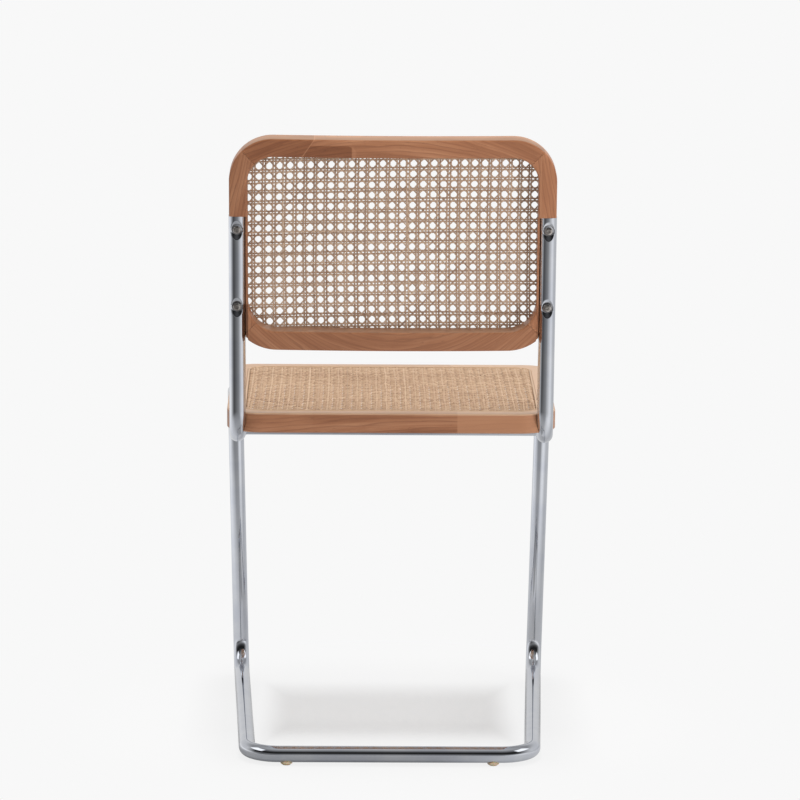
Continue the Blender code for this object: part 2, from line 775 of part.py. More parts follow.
def screw_mesh(name, head_height, length):
    """A button-head screw about Z: the head above the plane Z = 0, the shank below it."""
    socket = SCREW_SOCKET_DIAMETER / 2
    floor = head_height - SCREW_SOCKET_DEPTH
    dome = head_height - SCREW_RIM_HEIGHT
    profile = [(0, floor), (socket, floor)]
    start = math.acos(socket / HEAD_RADIUS)
    for step in range(DOME_STEPS + 1):
        angle = start * (1 - step / DOME_STEPS)
        profile.append((HEAD_RADIUS * math.cos(angle), SCREW_RIM_HEIGHT + dome * math.sin(angle)))
    profile += [(HEAD_RADIUS, 0), (SHANK_RADIUS, 0), (SHANK_RADIUS, -length), (0, -length)]
    return turned_mesh(name, profile)


def insert_mesh(name, length):
    """A threaded insert about Z, its open end at Z = 0 and its body below."""
    inner = SHANK_RADIUS + GAP
    outer = INSERT_DIAMETER / 2
    form = bmesh.new()
    rings = [(outer, 0), (outer, -length), (inner, -length), (inner, 0)]
    rows = []
    for radius, height in rings:
        made = bmesh.ops.create_circle(form, segments=ROUND_SIDES, radius=radius)
        bmesh.ops.translate(form, verts=made["verts"], vec=(0, 0, height))
        rows.append(made["verts"])
    for here, there in zip(rows, rows[1:] + rows[:1]):
        for i in range(ROUND_SIDES):
            j = (i + 1) % ROUND_SIDES
            form.faces.new((here[i], here[j], there[j], there[i]))
    return finish_bmesh(name, form)


def make_back_fixings(back, steel, brass_metal):
    """Each screw passes through the tube from its dimple into an insert in the stile."""
    insert_length = -TUBE_RADIUS - 2 * GAP - BACK_FRONT_FACE - INSERT_END_WOOD
    head_seat = DIMPLE_FLOOR + GAP
    insert_mouth = -TUBE_RADIUS - 2 * GAP
    length = head_seat - insert_mouth + insert_length - GAP
    screw = screw_mesh("back_screw", SCREW_HEAD_HEIGHT, length)
    insert = insert_mesh("back_insert", insert_length)
    hole_radius = INSERT_DIAMETER / 2 + GAP
    hole = cone_mesh("back_insert_hole", hole_radius, hole_radius, insert_mouth - insert_length - GAP, 0)
    for name, x, up in back_screw_places():
        add_part(f"back_screw_{name}", screw.copy(), steel, back, facing_back(x, up, head_seat))
        add_part(f"back_insert_{name}", insert.copy(), brass_metal, back, facing_back(x, up, insert_mouth))
        side = name.split("_")[0]
        cutter = add_cutter(f"back_insert_hole_{name}", hole, back, facing_back(x, up))
        combine(find_part(f"back_{side}_stile"), cutter)


def make_seat_fixings(seat, steel, brass_metal):
    """Each screw passes up through the seat tube into an insert in the side rail."""
    head_seat = -TUBE_RADIUS - GAP
    length = SEAT_GROOVE_CROWN + SEAT_SCREW_REACH - head_seat
    insert_length = SEAT_SCREW_REACH
    screw = screw_mesh("seat_screw", SEAT_SCREW_HEAD_HEIGHT, length)
    insert = insert_mesh("seat_insert", insert_length)
    hole_radius = INSERT_DIAMETER / 2 + GAP
    top = SEAT_GROOVE_CROWN + GAP + insert_length + GAP
    hole = cone_mesh("seat_insert_hole", hole_radius, hole_radius, 0, top)
    for name, x, forward in seat_screw_places():
        side = name.split("_")[0]
        turned_over = Matrix.Rotation(math.pi, 4, "X")
        low = Matrix.Translation((x, -forward, head_seat)) @ turned_over
        high = Matrix.Translation((x, -forward, SEAT_GROOVE_CROWN + GAP)) @ turned_over
        add_part(f"seat_screw_{name}", screw.copy(), steel, seat, low)
        add_part(f"seat_insert_{name}", insert.copy(), brass_metal, seat, high)
        at = Matrix.Translation((x, -forward, 0))
        combine(find_part(f"seat_{side}_rail"), add_cutter(f"seat_insert_hole_{name}", hole, seat, at))


def make_glides(chair, plastic):
    """Each glide is a foot saddled to the tube, with a stem that plugs into the tube's hole."""
    top = GLIDE_HEIGHT + GLIDE_WRAP
    profile = [
        (0, top),
        (GLIDE_TOP_DIAMETER / 2, top),
        (GLIDE_DIAMETER / 2, GLIDE_RIM_HEIGHT),
        (GLIDE_FOOT_DIAMETER / 2, 0),
        (0, 0),
    ]
    body = turned_mesh("glide", profile)
    saddle_ends = [Vector((x, 0, FLOOR_TUBE_HEIGHT)) for x in (GLIDE_DIAMETER, -GLIDE_DIAMETER)]
    saddle = tube_mesh("saddle", saddle_ends, TUBE_RADIUS + GAP, 2 * TUBE_SIDES)
    stem_radius = GLIDE_STEM_DIAMETER / 2
    stem = cone_mesh("stem", stem_radius, stem_radius, GLIDE_HEIGHT / 2, GLIDE_HEIGHT + GLIDE_STEM_LENGTH)
    for name, x, y, heading in glide_places():
        at = Matrix.Translation((x, y, 0)) @ Matrix.Rotation(heading, 4, "Z")
        glide = add_part(name, body.copy(), plastic, chair, at)
        combine(glide, add_cutter(f"{name}_saddle", saddle, chair, at))
        combine(glide, add_cutter(f"{name}_stem", stem, chair, at), "UNION")


def centre_over_origin(chair):
    """Moves the chair so that its box stands centred on the origin."""
    bpy.context.view_layer.update()
    graph = bpy.context.evaluated_depsgraph_get()
    places = []
    for obj in PARTS.objects:
        if obj.type == "MESH":
            made = obj.evaluated_get(graph)
            places += [made.matrix_world @ vertex.co for vertex in made.data.vertices]
    middle = [(min(p[axis] for p in places) + max(p[axis] for p in places)) / 2 for axis in (0, 1)]
    chair.location = (-middle[0], -middle[1], -min(p.z for p in places))


def build():
    chair = new_empty("chair_datum")
    elbow_line = (0, 0, ELBOW_HEIGHT)
    back = new_empty("back_datum", elbow_line, -BACK_LEAN, chair)
    seat = new_empty("seat_datum", elbow_line, -SEAT_SLOPE, chair)
    metal = chrome()
    steel = screw_steel()
    brass_metal = brass()
    wood = beech()
    cane_material = cane()
    envelope = tube_envelope(chair)
    make_tube(chair, back, seat, metal)
    make_crossbar(seat, envelope, metal)
    back_frame = make_back(back, wood, cane_material)
    seat_frame = make_seat(seat, envelope, wood, cane_material)
    make_back_fixings(back, steel, brass_metal)
    make_seat_fixings(seat, steel, brass_metal)
    back_pieces = {
        "back_right": ("back_right_stile", "back_top_rail"),
        "back_left": ("back_left_stile", "back_top_rail"),
    }
    back_corners = (("back_right", 1), ("back_left", 2))
    make_dowels(back_frame, back_corners, place_back, back, back_pieces, BACK_THICKNESS, wood)
    seat_pieces = {
        "seat_left": ("seat_left_rail", "seat_front_rail"),
        "seat_right": ("seat_right_rail", "seat_front_rail"),
    }
    seat_corners = (("seat_left", 2), ("seat_right", 3))
    make_dowels(seat_frame, seat_corners, place_seat, seat, seat_pieces, SEAT_THICKNESS, wood)
    make_glides(chair, nylon())
    centre_over_origin(chair)


build()
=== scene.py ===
# The caned cantilever chair, dressed: fine bent tube, grained beech frames, woven cane and its studio.
import math

import bmesh
import bpy
import numpy as np
from mathutils import Matrix, Vector


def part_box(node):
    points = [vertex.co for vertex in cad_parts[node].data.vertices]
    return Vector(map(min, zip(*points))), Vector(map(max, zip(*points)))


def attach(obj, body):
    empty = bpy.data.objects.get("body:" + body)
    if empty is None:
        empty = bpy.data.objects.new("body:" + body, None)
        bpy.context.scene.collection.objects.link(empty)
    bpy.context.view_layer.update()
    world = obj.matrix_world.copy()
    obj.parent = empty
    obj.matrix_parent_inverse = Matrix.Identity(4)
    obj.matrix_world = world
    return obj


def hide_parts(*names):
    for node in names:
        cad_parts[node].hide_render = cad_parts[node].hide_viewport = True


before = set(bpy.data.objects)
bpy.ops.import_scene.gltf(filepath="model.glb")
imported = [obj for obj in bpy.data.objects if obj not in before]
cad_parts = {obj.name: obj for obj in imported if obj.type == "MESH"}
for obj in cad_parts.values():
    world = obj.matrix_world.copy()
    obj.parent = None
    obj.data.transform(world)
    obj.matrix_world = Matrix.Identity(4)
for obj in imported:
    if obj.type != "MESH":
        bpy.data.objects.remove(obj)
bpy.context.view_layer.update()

rng = np.random.default_rng(7)
gap = 0.0003  # left between pieces that touch
seatTop = 0.0349  # above the seat tubes' centre line
print("frame loaded:", len(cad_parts), "nodes")

# the bent tube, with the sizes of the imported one
tube = dict(
    diameter=0.022, wall=0.0016, bend=0.044, upright=0.4092, knee=0.4424, toe=0.4264, heel=0.379,
    elbowHeight=0.4283, seatRun=0.4145, seatSlope=0.6, lean=7.0, length=0.3049,
    toeReach=0.0378, heelReach=0.0736, footHeight=0.0144, hollow=0.02, sides=72, bendSteps=28,
    straightStep=0.03, shortestStraight=0.02,
)
tubeRadius = tube["diameter"] / 2
glideLow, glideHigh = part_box("glide_rear_right")
datum = Vector((0, (glideLow.y + glideHigh.y) / 2 - tube["heelReach"], 0))
elbowLine = datum + Vector((0, 0, tube["elbowHeight"]))
backPlace = Matrix.Translation(elbowLine) @ Matrix.Rotation(math.radians(-tube["lean"]), 4, "X")
seatPlace = Matrix.Translation(elbowLine) @ Matrix.Rotation(math.radians(-tube["seatSlope"]), 4, "X")


def joined(operation):  # a method that puts two values through one math node
    return lambda self, other: self.math(operation, self, other)


class Wire:  # an output socket that can be used in sums
    def __init__(self, nodes, socket):
        self.nodes = nodes
        self.socket = socket

    def math(self, operation, *values):
        return self.nodes.node("ShaderNodeMath", {"operation": operation}, dict(enumerate(values)))

    __add__ = __radd__ = joined("ADD")
    __sub__ = joined("SUBTRACT")
    __mul__ = __rmul__ = joined("MULTIPLY")
    __truediv__ = joined("DIVIDE")
    __pow__ = joined("POWER")
    atLeast = joined("MAXIMUM")

    def __rsub__(self, other):
        return self.math("SUBTRACT", other, self)

    def __abs__(self):
        return self.math("ABSOLUTE", self)

    def ramp(self, low, high):  # 0 below low, 1 above high
        limits = {"Value": self, "From Min": low, "From Max": high}
        return self.nodes.node("ShaderNodeMapRange", {"interpolation_type": "SMOOTHSTEP"}, limits)


class Nodes:  # makes the nodes of one tree
    def __init__(self, tree):
        self.tree = tree

    def node(self, kind, settings=None, inputs=None, output=0):
        made = self.tree.nodes.new(kind)
        for key, value in (settings or {}).items():
            if key == "stops":
                self.spread(made.color_ramp, value)
            else:
                setattr(made, key, value)
        for key, value in (inputs or {}).items():
            self.put(made.inputs[key], value)
        return Wire(self, made.outputs[output])

    def spread(self, ramp, stops):
        while len(ramp.elements) < len(stops):
            ramp.elements.new(0.5)
        for element, (at, colour) in zip(ramp.elements, stops):
            element.position = at
            element.color = (*colour, 1)

    def put(self, socket, value):
        if isinstance(value, Wire):
            self.tree.links.new(value.socket, socket)
        elif isinstance(value, tuple) and len(value) == 3 and socket.type == "RGBA":
            socket.default_value = (*value, 1)
        else:
            socket.default_value = value

    def stored(self, name, output="Vector"):  # a value kept on the mesh
        return self.node("ShaderNodeAttribute", {"attribute_name": name}, output=output)

    def objectPlace(self):
        return self.node("ShaderNodeTexCoord", output="Object")

    def split(self, where, axis):
        return self.node("ShaderNodeSeparateXYZ", None, {0: where}, output=axis)

    def looksUp(self, low, high):  # 1 on faces that look up
        return self.split(self.node("ShaderNodeNewGeometry", output="Normal"), "Z").ramp(low, high)

    def scaled(self, vector, by):  # a place stretched or a colour tinted, axis by axis
        return self.node("ShaderNodeVectorMath", {"operation": "MULTIPLY"}, {0: vector, 1: by})

    def noise(self, where, scale, detail, rough=0.55, distort=0.0):  # scale: one number, or one for each axis
        if isinstance(scale, tuple):
            where, scale = self.scaled(where, scale), 1
        inputs = {"Vector": where, "Scale": scale, "Detail": detail}
        return self.node("ShaderNodeTexNoise", None, dict(inputs, Roughness=rough, Distortion=distort))

    def mix(self, share, first, second):
        return self.node("ShaderNodeMix", {"data_type": "RGBA"}, {0: share, 6: first, 7: second}, output=2)

    def colours(self, value, stops):
        return self.node("ShaderNodeValToRGB", {"stops": stops}, {0: value})

    def greys(self, value, stops):
        return self.colours(value, [(at, grey(level)) for at, level in stops])

    def compass(self, place):  # to the camera's right, behind the chair, and the angle between them
        right, behind = self.split(place, "X") * -1, self.split(place, "Y")
        return right, behind, right.math("ARCTAN2", right, behind)

    def dial(self, angle, stops):  # brightness by compass angle, stops in degrees right of the camera side
        turn = (angle + math.pi) / (2 * math.pi)
        return self.greys(turn, [((at + 180) / 360, level) for at, level in stops])

    def rayIs(self, kind):
        return self.node("ShaderNodeLightPath", output=f"Is {kind} Ray")


class Finish(Nodes):  # one material, with a Principled shader at its end
    def __init__(self, name, **fixed):
        self.material = bpy.data.materials.new(name)
        self.material.use_nodes = True
        super().__init__(self.material.node_tree)
        self.shader = self.tree.nodes["Principled BSDF"]
        for socket, value in fixed.items():
            self.shader.inputs[socket.replace("_", " ")].default_value = value

    def feed(self, socket, wire):
        self.put(self.shader.inputs[socket], wire)

    def bump(self, height, distance, strength):
        inputs = {"Height": height, "Distance": distance, "Strength": strength}
        self.feed("Normal", self.node("ShaderNodeBump", None, inputs))


def grey(level):
    return (level,) * 3


def srgb(red, green, blue):  # a colour as picked from a picture, 0 to 255
    made = []
    for level in (red, green, blue):
        share = level / 255
        made.append(share / 12.92 if share <= 0.04045 else ((share + 0.055) / 1.055) ** 2.4)
    return tuple(made)


# the plain finishes: their two tones, how rough they are and how much rougher in places
chromeLook = dict(
    dull=srgb(210, 214, 224), bright=srgb(224, 227, 233), rough=0.035, cloudy=0.035, scratched=0.05,
)
steelLook = dict(dull=srgb(182, 174, 168), bright=srgb(232, 226, 220), rough=0.2, rougher=0.2)
brassLook = dict(dull=srgb(205, 170, 105), bright=srgb(224, 192, 128), rough=0.28, rougher=0.15)
nylonLook = dict(dull=srgb(186, 164, 132), bright=srgb(208, 188, 158), rough=0.35, rougher=0.15)


def makeChrome():
    finish = Finish("chrome", Metallic=1.0, IOR=1.5)
    where = finish.objectPlace()
    cloud = finish.noise(where, 18, 4)
    speck = finish.noise(where, 900, 2)
    scratch = finish.noise(finish.scaled(where, (1, 1, 0.04)), 1400, 2, 0.7)
    finish.feed("Base Color", finish.mix(cloud.ramp(0.3, 0.7), chromeLook["dull"], chromeLook["bright"]))
    cloudy = cloud.ramp(0.45, 0.75) * chromeLook["cloudy"]
    scratched = scratch.ramp(0.6, 0.72) * chromeLook["scratched"]
    finish.feed("Roughness", chromeLook["rough"] + cloudy + scratched)
    finish.bump(cloud * 0.6 + speck * 0.02, 0.0006, 0.12)
    return finish.material


def makeScrewSteel():
    finish = Finish("screwSteel", Metallic=1.0)
    where = finish.objectPlace()
    stain = finish.noise(where, 260, 4)
    finish.feed("Base Color", finish.mix(stain.ramp(0.4, 0.66), steelLook["dull"], steelLook["bright"]))
    finish.feed("Roughness", steelLook["rough"] + stain * steelLook["rougher"])
    finish.bump(finish.noise(where, 900, 2), 0.0003, 0.4)
    return finish.material


def makeStained(name, look, scale, **fixed):  # a finish that only varies by a stain
    finish = Finish(name, **fixed)
    stain = finish.noise(finish.objectPlace(), scale, 3)
    finish.feed("Base Color", finish.mix(stain, look["dull"], look["bright"]))
    finish.feed("Roughness", look["rough"] + stain * look["rougher"])
    return finish.material


wood = dict(
    dark=srgb(138, 85, 53), mid=srgb(167, 110, 74), pale=srgb(186, 131, 94), late=srgb(106, 59, 35),
    pore=srgb(92, 54, 35), worn=srgb(178, 145, 117), handled=srgb(112, 70, 44),
    rings=165.0, tilt=0.42, waves=5.0, offTrue=0.04,
)


def makeWood(name, shade=1.0, boards=None):
    finish = Finish(name, Coat_Weight=0.25, Coat_Roughness=0.28, IOR=1.5)
    where = finish.stored("grain")
    warp = finish.noise(where, (5, 30, 30), 3)
    bands = finish.noise(where, (6, 75, 75), 4, 0.6, 0.3)
    fibre = finish.noise(where, (14, 520, 520), 3, 0.7)
    fleck = finish.noise(where, (110, 600, 600), 2)
    across = finish.split(where, "Y") + finish.split(where, "Z") * wood["tilt"]
    turns = across * wood["rings"] + warp * wood["waves"]
    ring = turns.math("FRACT", turns)
    late = ring.ramp(0.1, 0.9) * 0.35 + ring.ramp(0.66, 0.88) * 0.65
    late = late * (1 - ring.ramp(0.9, 1.0)) * bands.ramp(0.2, 0.55)
    stops = [(0.3, wood["dark"]), (0.5, wood["mid"]), (0.7, wood["pale"])]
    colour = finish.colours(bands * 0.75 + fibre * 0.25, stops)
    colour = finish.mix(late * 0.42, colour, wood["late"])
    colour = finish.mix(fleck.ramp(0.63, 0.72) * 0.3, colour, wood["pore"])
    if boards:
        colour = boards(finish, colour)
    # painted sheen: faces that look up are mixed toward a pale colour
    colour = finish.mix(finish.looksUp(0.45, 0.95) * (0.25 + bands * 0.3), colour, wood["worn"])
    colour = finish.node("ShaderNodeVectorMath", {"operation": "SCALE"}, {0: colour, "Scale": shade})
    finish.feed("Base Color", colour)
    finish.feed("Roughness", 0.4 + fibre * 0.14 - late * 0.05)
    finish.bump(fibre * 0.5 + fleck * 0.3 - late * 0.2, 0.00025, 0.3)
    return finish.material


# the top rail from behind: a dark board at the left, a rounded patch let in beside it, then the main board
topBoards = dict(
    jointTop=0.1023, jointUp=0.4106, jointLean=0.69, patchEnd=0.0542, patchTop=0.4016, line=0.0007,
    patchShoulder=0.0605, patchRound=55.0, halo=0.003, dark=(0.68, 0.58, 0.48),
    handledFrom=-0.013, handledTo=0.005,
)


def glueUp(finish, colour):
    place = finish.stored("rail")
    x, up = finish.split(place, "X"), finish.split(place, "Y")
    line, halo = topBoards["line"], topBoards["halo"]
    pastJoint = x - topBoards["jointTop"] + (up - topBoards["jointUp"]) * topBoards["jointLean"]
    darkBoard = pastJoint.ramp(-line / 2, line / 2)
    rounding = (topBoards["patchShoulder"] - x).atLeast(0.0)
    pastEnd = x - topBoards["patchEnd"]
    overTop = up - topBoards["patchTop"] + rounding * rounding * topBoards["patchRound"]
    patch = pastEnd.ramp(-line / 2, line / 2) * (1 - darkBoard) * (1 - overTop.ramp(-line / 2, line / 2))
    colour = finish.mix(darkBoard * 0.85 + patch, colour, finish.scaled(colour, topBoards["dark"]))
    # painted shade: the rear half of the rail's top is darkened, where a rounder edge would turn from the
    # light
    rear = finish.split(place, "Z").ramp(topBoards["handledFrom"], topBoards["handledTo"])
    colour = finish.mix(rear * finish.looksUp(0.3, 0.8) * 0.9, colour, wood["handled"])
    glue = 1 - abs(pastJoint).ramp(line * 0.4, line * 1.6)
    beside = (1 - abs(pastEnd + halo).ramp(0.001, 0.004)) * (1 - patch) * (1 - overTop.ramp(0, 0.004))
    return finish.mix((glue * 0.55).atLeast(beside * 0.3), colour, wood["pale"])


stripBoard = dict(joint=0.1933, lineFrom=0.0003, lineTo=0.0013)


def glueStrip(finish, colour):  # a strip glued to the stile's outer side, with its pale line
    past = finish.split(finish.stored("rail"), "X") + stripBoard["joint"]
    line = 1 - abs(past).ramp(stripBoard["lineFrom"], stripBoard["lineTo"])
    return finish.mix(line * 0.42, colour, wood["pale"])


# the seat's rear rail is three boards end to end, and all four rails get a painted pale sheen on top
seatBoards = dict(
    firstJoint=-0.0878, firstPale=0.7, secondJoint=0.1047, secondPale=0.1, joint=0.0005,
    wornFrom=0.0028, wornTo=0.0006, patchy=0.2, bleach=(1.7, 2.6, 3.6), worn=srgb(214, 174, 140), rubbed=0.4,
)


def paintedSheenTop(finish, colour):
    place = finish.stored("rail")
    x, up = finish.split(place, "X"), finish.split(place, "Y")
    joint = seatBoards["joint"]
    first = (seatBoards["firstJoint"] - x).ramp(-joint, joint) * seatBoards["firstPale"]
    second = (x - seatBoards["secondJoint"]).ramp(-joint, joint) * seatBoards["secondPale"]
    colour = finish.mix(first + second, colour, wood["pale"])
    patchy = finish.noise(place, (30, 30, 60), 3) * seatBoards["patchy"] + (1 - seatBoards["patchy"])
    # painted sheen: the rails' top faces are brightened and paled
    share = up.ramp(seatTop - seatBoards["wornFrom"], seatTop - seatBoards["wornTo"]) * patchy
    brightened = finish.scaled(colour, seatBoards["bleach"])
    return finish.mix(share, colour, finish.mix(seatBoards["rubbed"], brightened, seatBoards["worn"]))


backTones = dict(dark=srgb(126, 94, 73), mid=srgb(176, 146, 122), pale=srgb(203, 177, 152))
seatTones = dict(dark=srgb(134, 102, 76), mid=srgb(180, 149, 121), pale=srgb(207, 179, 150))
knotTone = srgb(98, 68, 49)


def makeCane(name, tones):
    finish = Finish(name, Coat_Weight=0.12, Coat_Roughness=0.35, IOR=1.5)
    where = finish.stored("grain")
    fibre = finish.noise(where, (60, 2600, 2600), 3, 0.65)
    stain = finish.noise(where, (26, 160, 160), 3)
    value = finish.stored("tone", "Fac") * 0.6 + stain * 0.26 + fibre * 0.14
    colour = finish.colours(value, [(0.22, tones["dark"]), (0.5, tones["mid"]), (0.78, tones["pale"])])
    knot = finish.noise(where, (38, 30, 30), 1).ramp(0.7, 0.76)
    finish.feed("Base Color", finish.mix(knot * 0.5, colour, knotTone))
    finish.feed("Roughness", 0.42 + fibre * 0.2)
    finish.bump(fibre, 0.00015, 0.35)
    return finish.material


chrome = makeChrome()
screwSteel = makeScrewSteel()
brass = makeStained("brass", brassLook, 300, Metallic=1.0)
nylon = makeStained("nylon", nylonLook, 220, Subsurface_Weight=0.35, Subsurface_Scale=0.004, IOR=1.53)
beech = makeWood("beech")
beechTop = makeWood("beechGluedUp", boards=glueUp)
beechStrip = makeWood("beechStrip", boards=glueStrip)
beechDark = makeWood("beechDark", 0.87)
beechSeat = makeWood("beechWornTop", 0.88, paintedSheenTop)
backCane = makeCane("backCane", backTones)
seatCane = makeCane("seatCane", seatTones)
print("finishes made")


def worldPoints(matrix, points):
    turned = np.asarray(points) @ np.array(matrix.to_3x3()).T
    return turned + np.array(matrix.translation)


def pieceName(node):  # back_top_rail becomes backTopRail
    first, *others = node.split("_")
    return first + "".join(word.capitalize() for word in others)


def addObject(name, data):
    made = bpy.data.objects.new(name, data)
    bpy.context.scene.collection.objects.link(made)
    return made


def solidMesh(name, points, faces):  # a closed mesh with its faces turned outward
    mesh = bpy.data.meshes.new(name)
    mesh.from_pydata(np.asarray(points).tolist(), [], faces)
    mesh.validate()
    form = bmesh.new()
    form.from_mesh(mesh)
    bmesh.ops.recalc_face_normals(form, faces=form.faces)
    form.to_mesh(mesh)
    form.free()
    return mesh


def shadeSmooth(mesh, sharp=40):  # smooth, but for edges sharper than this many degrees
    mesh.shade_smooth()
    mesh.set_sharp_from_angle(angle=math.radians(sharp))


def addPiece(mesh, material, node, sharp=40):  # the piece that replaces one node
    mesh.materials.append(material)
    shadeSmooth(mesh, sharp)
    piece = addObject(mesh.name, mesh)
    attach(piece, "root")
    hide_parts(node)
    return piece


def ringFaces(rings, count):  # quads between rings of count points each
    faces = []
    for i in range(rings - 1):
        for k in range(count):
            m = (k + 1) % count
            faces.append((i * count + k, i * count + m, (i + 1) * count + m, (i + 1) * count + k))
    return faces


def closedFaces(rings, count):  # the same, with a face over each end
    last = (rings - 1) * count
    return ringFaces(rings, count) + [tuple(reversed(range(count))), tuple(range(last, last + count))]


def ringSolid(name, points, count):
    return solidMesh(name, points, closedFaces(len(points) // count, count))


def roundedCorner(before, corner, after, radius, steps):
    arriving = (corner - before).normalized()
    leaving = (after - corner).normalized()
    turn = arriving.angle(leaving)
    start = corner - arriving * radius * math.tan(turn / 2)
    centre = corner + (leaving - arriving).normalized() * radius / math.cos(turn / 2)
    axis = arriving.cross(leaving).normalized()
    return [centre + Matrix.Rotation(turn * i / steps, 3, axis) @ (start - centre) for i in range(steps + 1)]


def tubeCorners():
    lean = math.radians(tube["lean"])
    kneeHeight = tube["elbowHeight"] + tube["seatRun"] * math.tan(math.radians(tube["seatSlope"]))
    elbow = Vector((tube["upright"] / 2, 0, tube["elbowHeight"]))
    top = elbow + tube["length"] * Vector((0, math.sin(lean), math.cos(lean)))
    knee = Vector((tube["knee"] / 2, -tube["seatRun"], kneeHeight))
    toe = Vector((tube["toe"] / 2, -tube["seatRun"] - tube["toeReach"], tube["footHeight"]))
    heel = Vector((tube["heel"] / 2, tube["heelReach"], tube["footHeight"]))
    right = [datum + p for p in (top, elbow, knee, toe, heel)]
    return right + [Vector((-p.x, p.y, p.z)) for p in reversed(right)]


def tubePath():
    corners = tubeCorners()
    path = [corners[0]]
    for before, corner, after in zip(corners, corners[1:], corners[2:]):
        path += roundedCorner(before, corner, after, tube["bend"], tube["bendSteps"])
    return path + [corners[-1]]


# dimples pressed into the uprights under the screw heads
dimple = dict(
    upper=0.2865, lower=0.1822, floorRadius=0.0058, radius=0.013, slope=1.6, soften=0.0006, step=0.0006,
)
dimpleDepth = (dimple["radius"] - dimple["floorRadius"]) / dimple["slope"]
screwPlaces = [(s * tube["upright"] / 2, dimple[row]) for s in (1, -1) for row in ("lower", "upper")]


def finePath(path):  # more points on the straights, and most on the uprights, where the dimples are
    fine = []
    for a, b in zip(path, path[1:]):
        fine.append(a)
        length = (b - a).length
        if length < tube["shortestStraight"]:
            continue
        onUpright = abs((b - a).normalized().z) > 0.9 and min(a.z, b.z) > tube["elbowHeight"]
        count = int(length / (dimple["step"] if onUpright else tube["straightStep"]))
        fine += [a.lerp(b, i / count) for i in range(1, count)]
    return fine + [path[-1]]


def sweptRings(path, radius, sides):
    tangents = []
    for i in range(len(path)):
        ahead = path[min(i + 1, len(path) - 1)] - path[max(i - 1, 0)]
        tangents.append(ahead.normalized())
    angles = [2 * math.pi * k / sides for k in range(sides)]
    side = Vector((1, 0, 0))
    side = (side - tangents[0] * side.dot(tangents[0])).normalized()
    rings = []
    for i, (point, tangent) in enumerate(zip(path, tangents)):
        if i:
            side = tangents[i - 1].rotation_difference(tangent) @ side
            side = (side - tangent * side.dot(tangent)).normalized()
        up = tangent.cross(side)
        rings.append([point + radius * (math.cos(a) * side + math.sin(a) * up) for a in angles])
    return rings


def pressDimples(points):
    local = worldPoints(backPlace.inverted(), points)
    floor, soft = tubeRadius - dimpleDepth, dimple["soften"]
    for x, up in screwPlaces:
        reach = np.hypot(local[:, 0] - x, local[:, 2] - up)
        dish = floor + np.maximum(reach - dimple["floorRadius"], 0) / dimple["slope"]
        depth = local[:, 1]
        blend = np.clip(0.5 + 0.5 * (depth - dish) / soft, 0, 1)  # 1 where the tube stands past the dish
        local[:, 1] = depth * (1 - blend) + dish * blend - soft * blend * (1 - blend) * 0.5
    return worldPoints(backPlace, local)


def makeTube():
    path = finePath(tubePath())
    outer = sweptRings(path, tubeRadius, tube["sides"])
    inner = tubeRadius - tube["wall"]
    first = (path[1] - path[0]).normalized() * tube["hollow"]
    last = (path[-1] - path[-2]).normalized() * tube["hollow"]
    start = [path[0] + (p - path[0]) * inner / tubeRadius for p in outer[0]]
    end = [path[-1] + (p - path[-1]) * inner / tubeRadius for p in outer[-1]]
    rings = [[p + first for p in start], start] + outer + [end, [p - last for p in end]]
    points = pressDimples([p for ring in rings for p in ring])
    addPiece(ringSolid("bentTube", points, tube["sides"]), chrome, "frame_tube", 50)


makeTube()
print("tube bent")


crossbar = dict(diameter=0.013, forward=0.063, weld=0.0016, intoTube=0.004, beads=7, ripple=0.12, sides=48)


def makeCrossbar():
    forward, weld, sides = crossbar["forward"], crossbar["weld"], crossbar["sides"]
    half = (tube["upright"] + (tube["knee"] - tube["upright"]) * forward / tube["seatRun"]) / 2
    edge = half - tubeRadius
    stations = [(edge + crossbar["intoTube"], weld), (edge, weld)]
    stations += [(edge - weld * t, weld * (1 - t) ** 2) for t in (0.15, 0.35, 0.6, 0.8, 1.0)]
    stations += [(-x, extra) for x, extra in reversed(stations)]
    points = []
    for x, extra in stations:
        for k in range(sides):
            a = 2 * math.pi * k / sides
            ripple = 1 + crossbar["ripple"] * math.sin(crossbar["beads"] * a + math.copysign(3, x))
            r = crossbar["diameter"] / 2 + extra * ripple
            y, z = r * math.cos(a), r * math.sin(a)
            reach = x
            if abs(x) >= edge:
                cope = half - math.sqrt(max((tubeRadius + gap) ** 2 - z * z, 0))
                reach = math.copysign(min(abs(x), cope), x)
            points.append((reach, y - forward, z))
    mesh = ringSolid("weldedCrossbar", worldPoints(seatPlace, points), sides)
    addPiece(mesh, chrome, "seat_crossbar", 50)


makeCrossbar()

# wooden frames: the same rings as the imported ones, with fine corners and rounded edges
rails = dict(
    ledge=0.004, ledgeDepth=0.0022, groove=0.005, grooveDepth=0.0048,
    outerEdge=0.0022, innerEdge=0.0028, arris=0.0004,
    edgeSteps=7, cornerSteps=28, bowSteps=36, grooveSteps=32, spaceSides=40,
)
back = dict(
    halfWidth=tube["upright"] / 2 + 0.0101, top=tube["length"] + 0.1051, height=0.2846, thickness=0.029,
    behindTube=0.0002, stile=0.0242, topRail=0.0245, bottomRail=0.0255, topCorner=0.058, bottomCorner=0.062,
    bow=0.008, stileSteps=12,
)
seat = dict(
    behindElbow=0.008, behindKnee=0.002, rearBeside=0.0150, frontBeside=0.0038, rail=0.031,
    thickness=0.0265, rearCorner=0.050, frontCorner=0.034, innerCorner=0.020, arch=0.1, railSteps=24,
)
backFront = tubeRadius + back["behindTube"] - back["thickness"]


def bow(x):
    return back["bow"] * (1 - (2 * x / tube["upright"]) ** 2)


def onBack(x, up, depth):
    return (x, backFront + depth + bow(x), up)


def onSeat(x, y, depth):
    return (x, y, seatTop - depth)


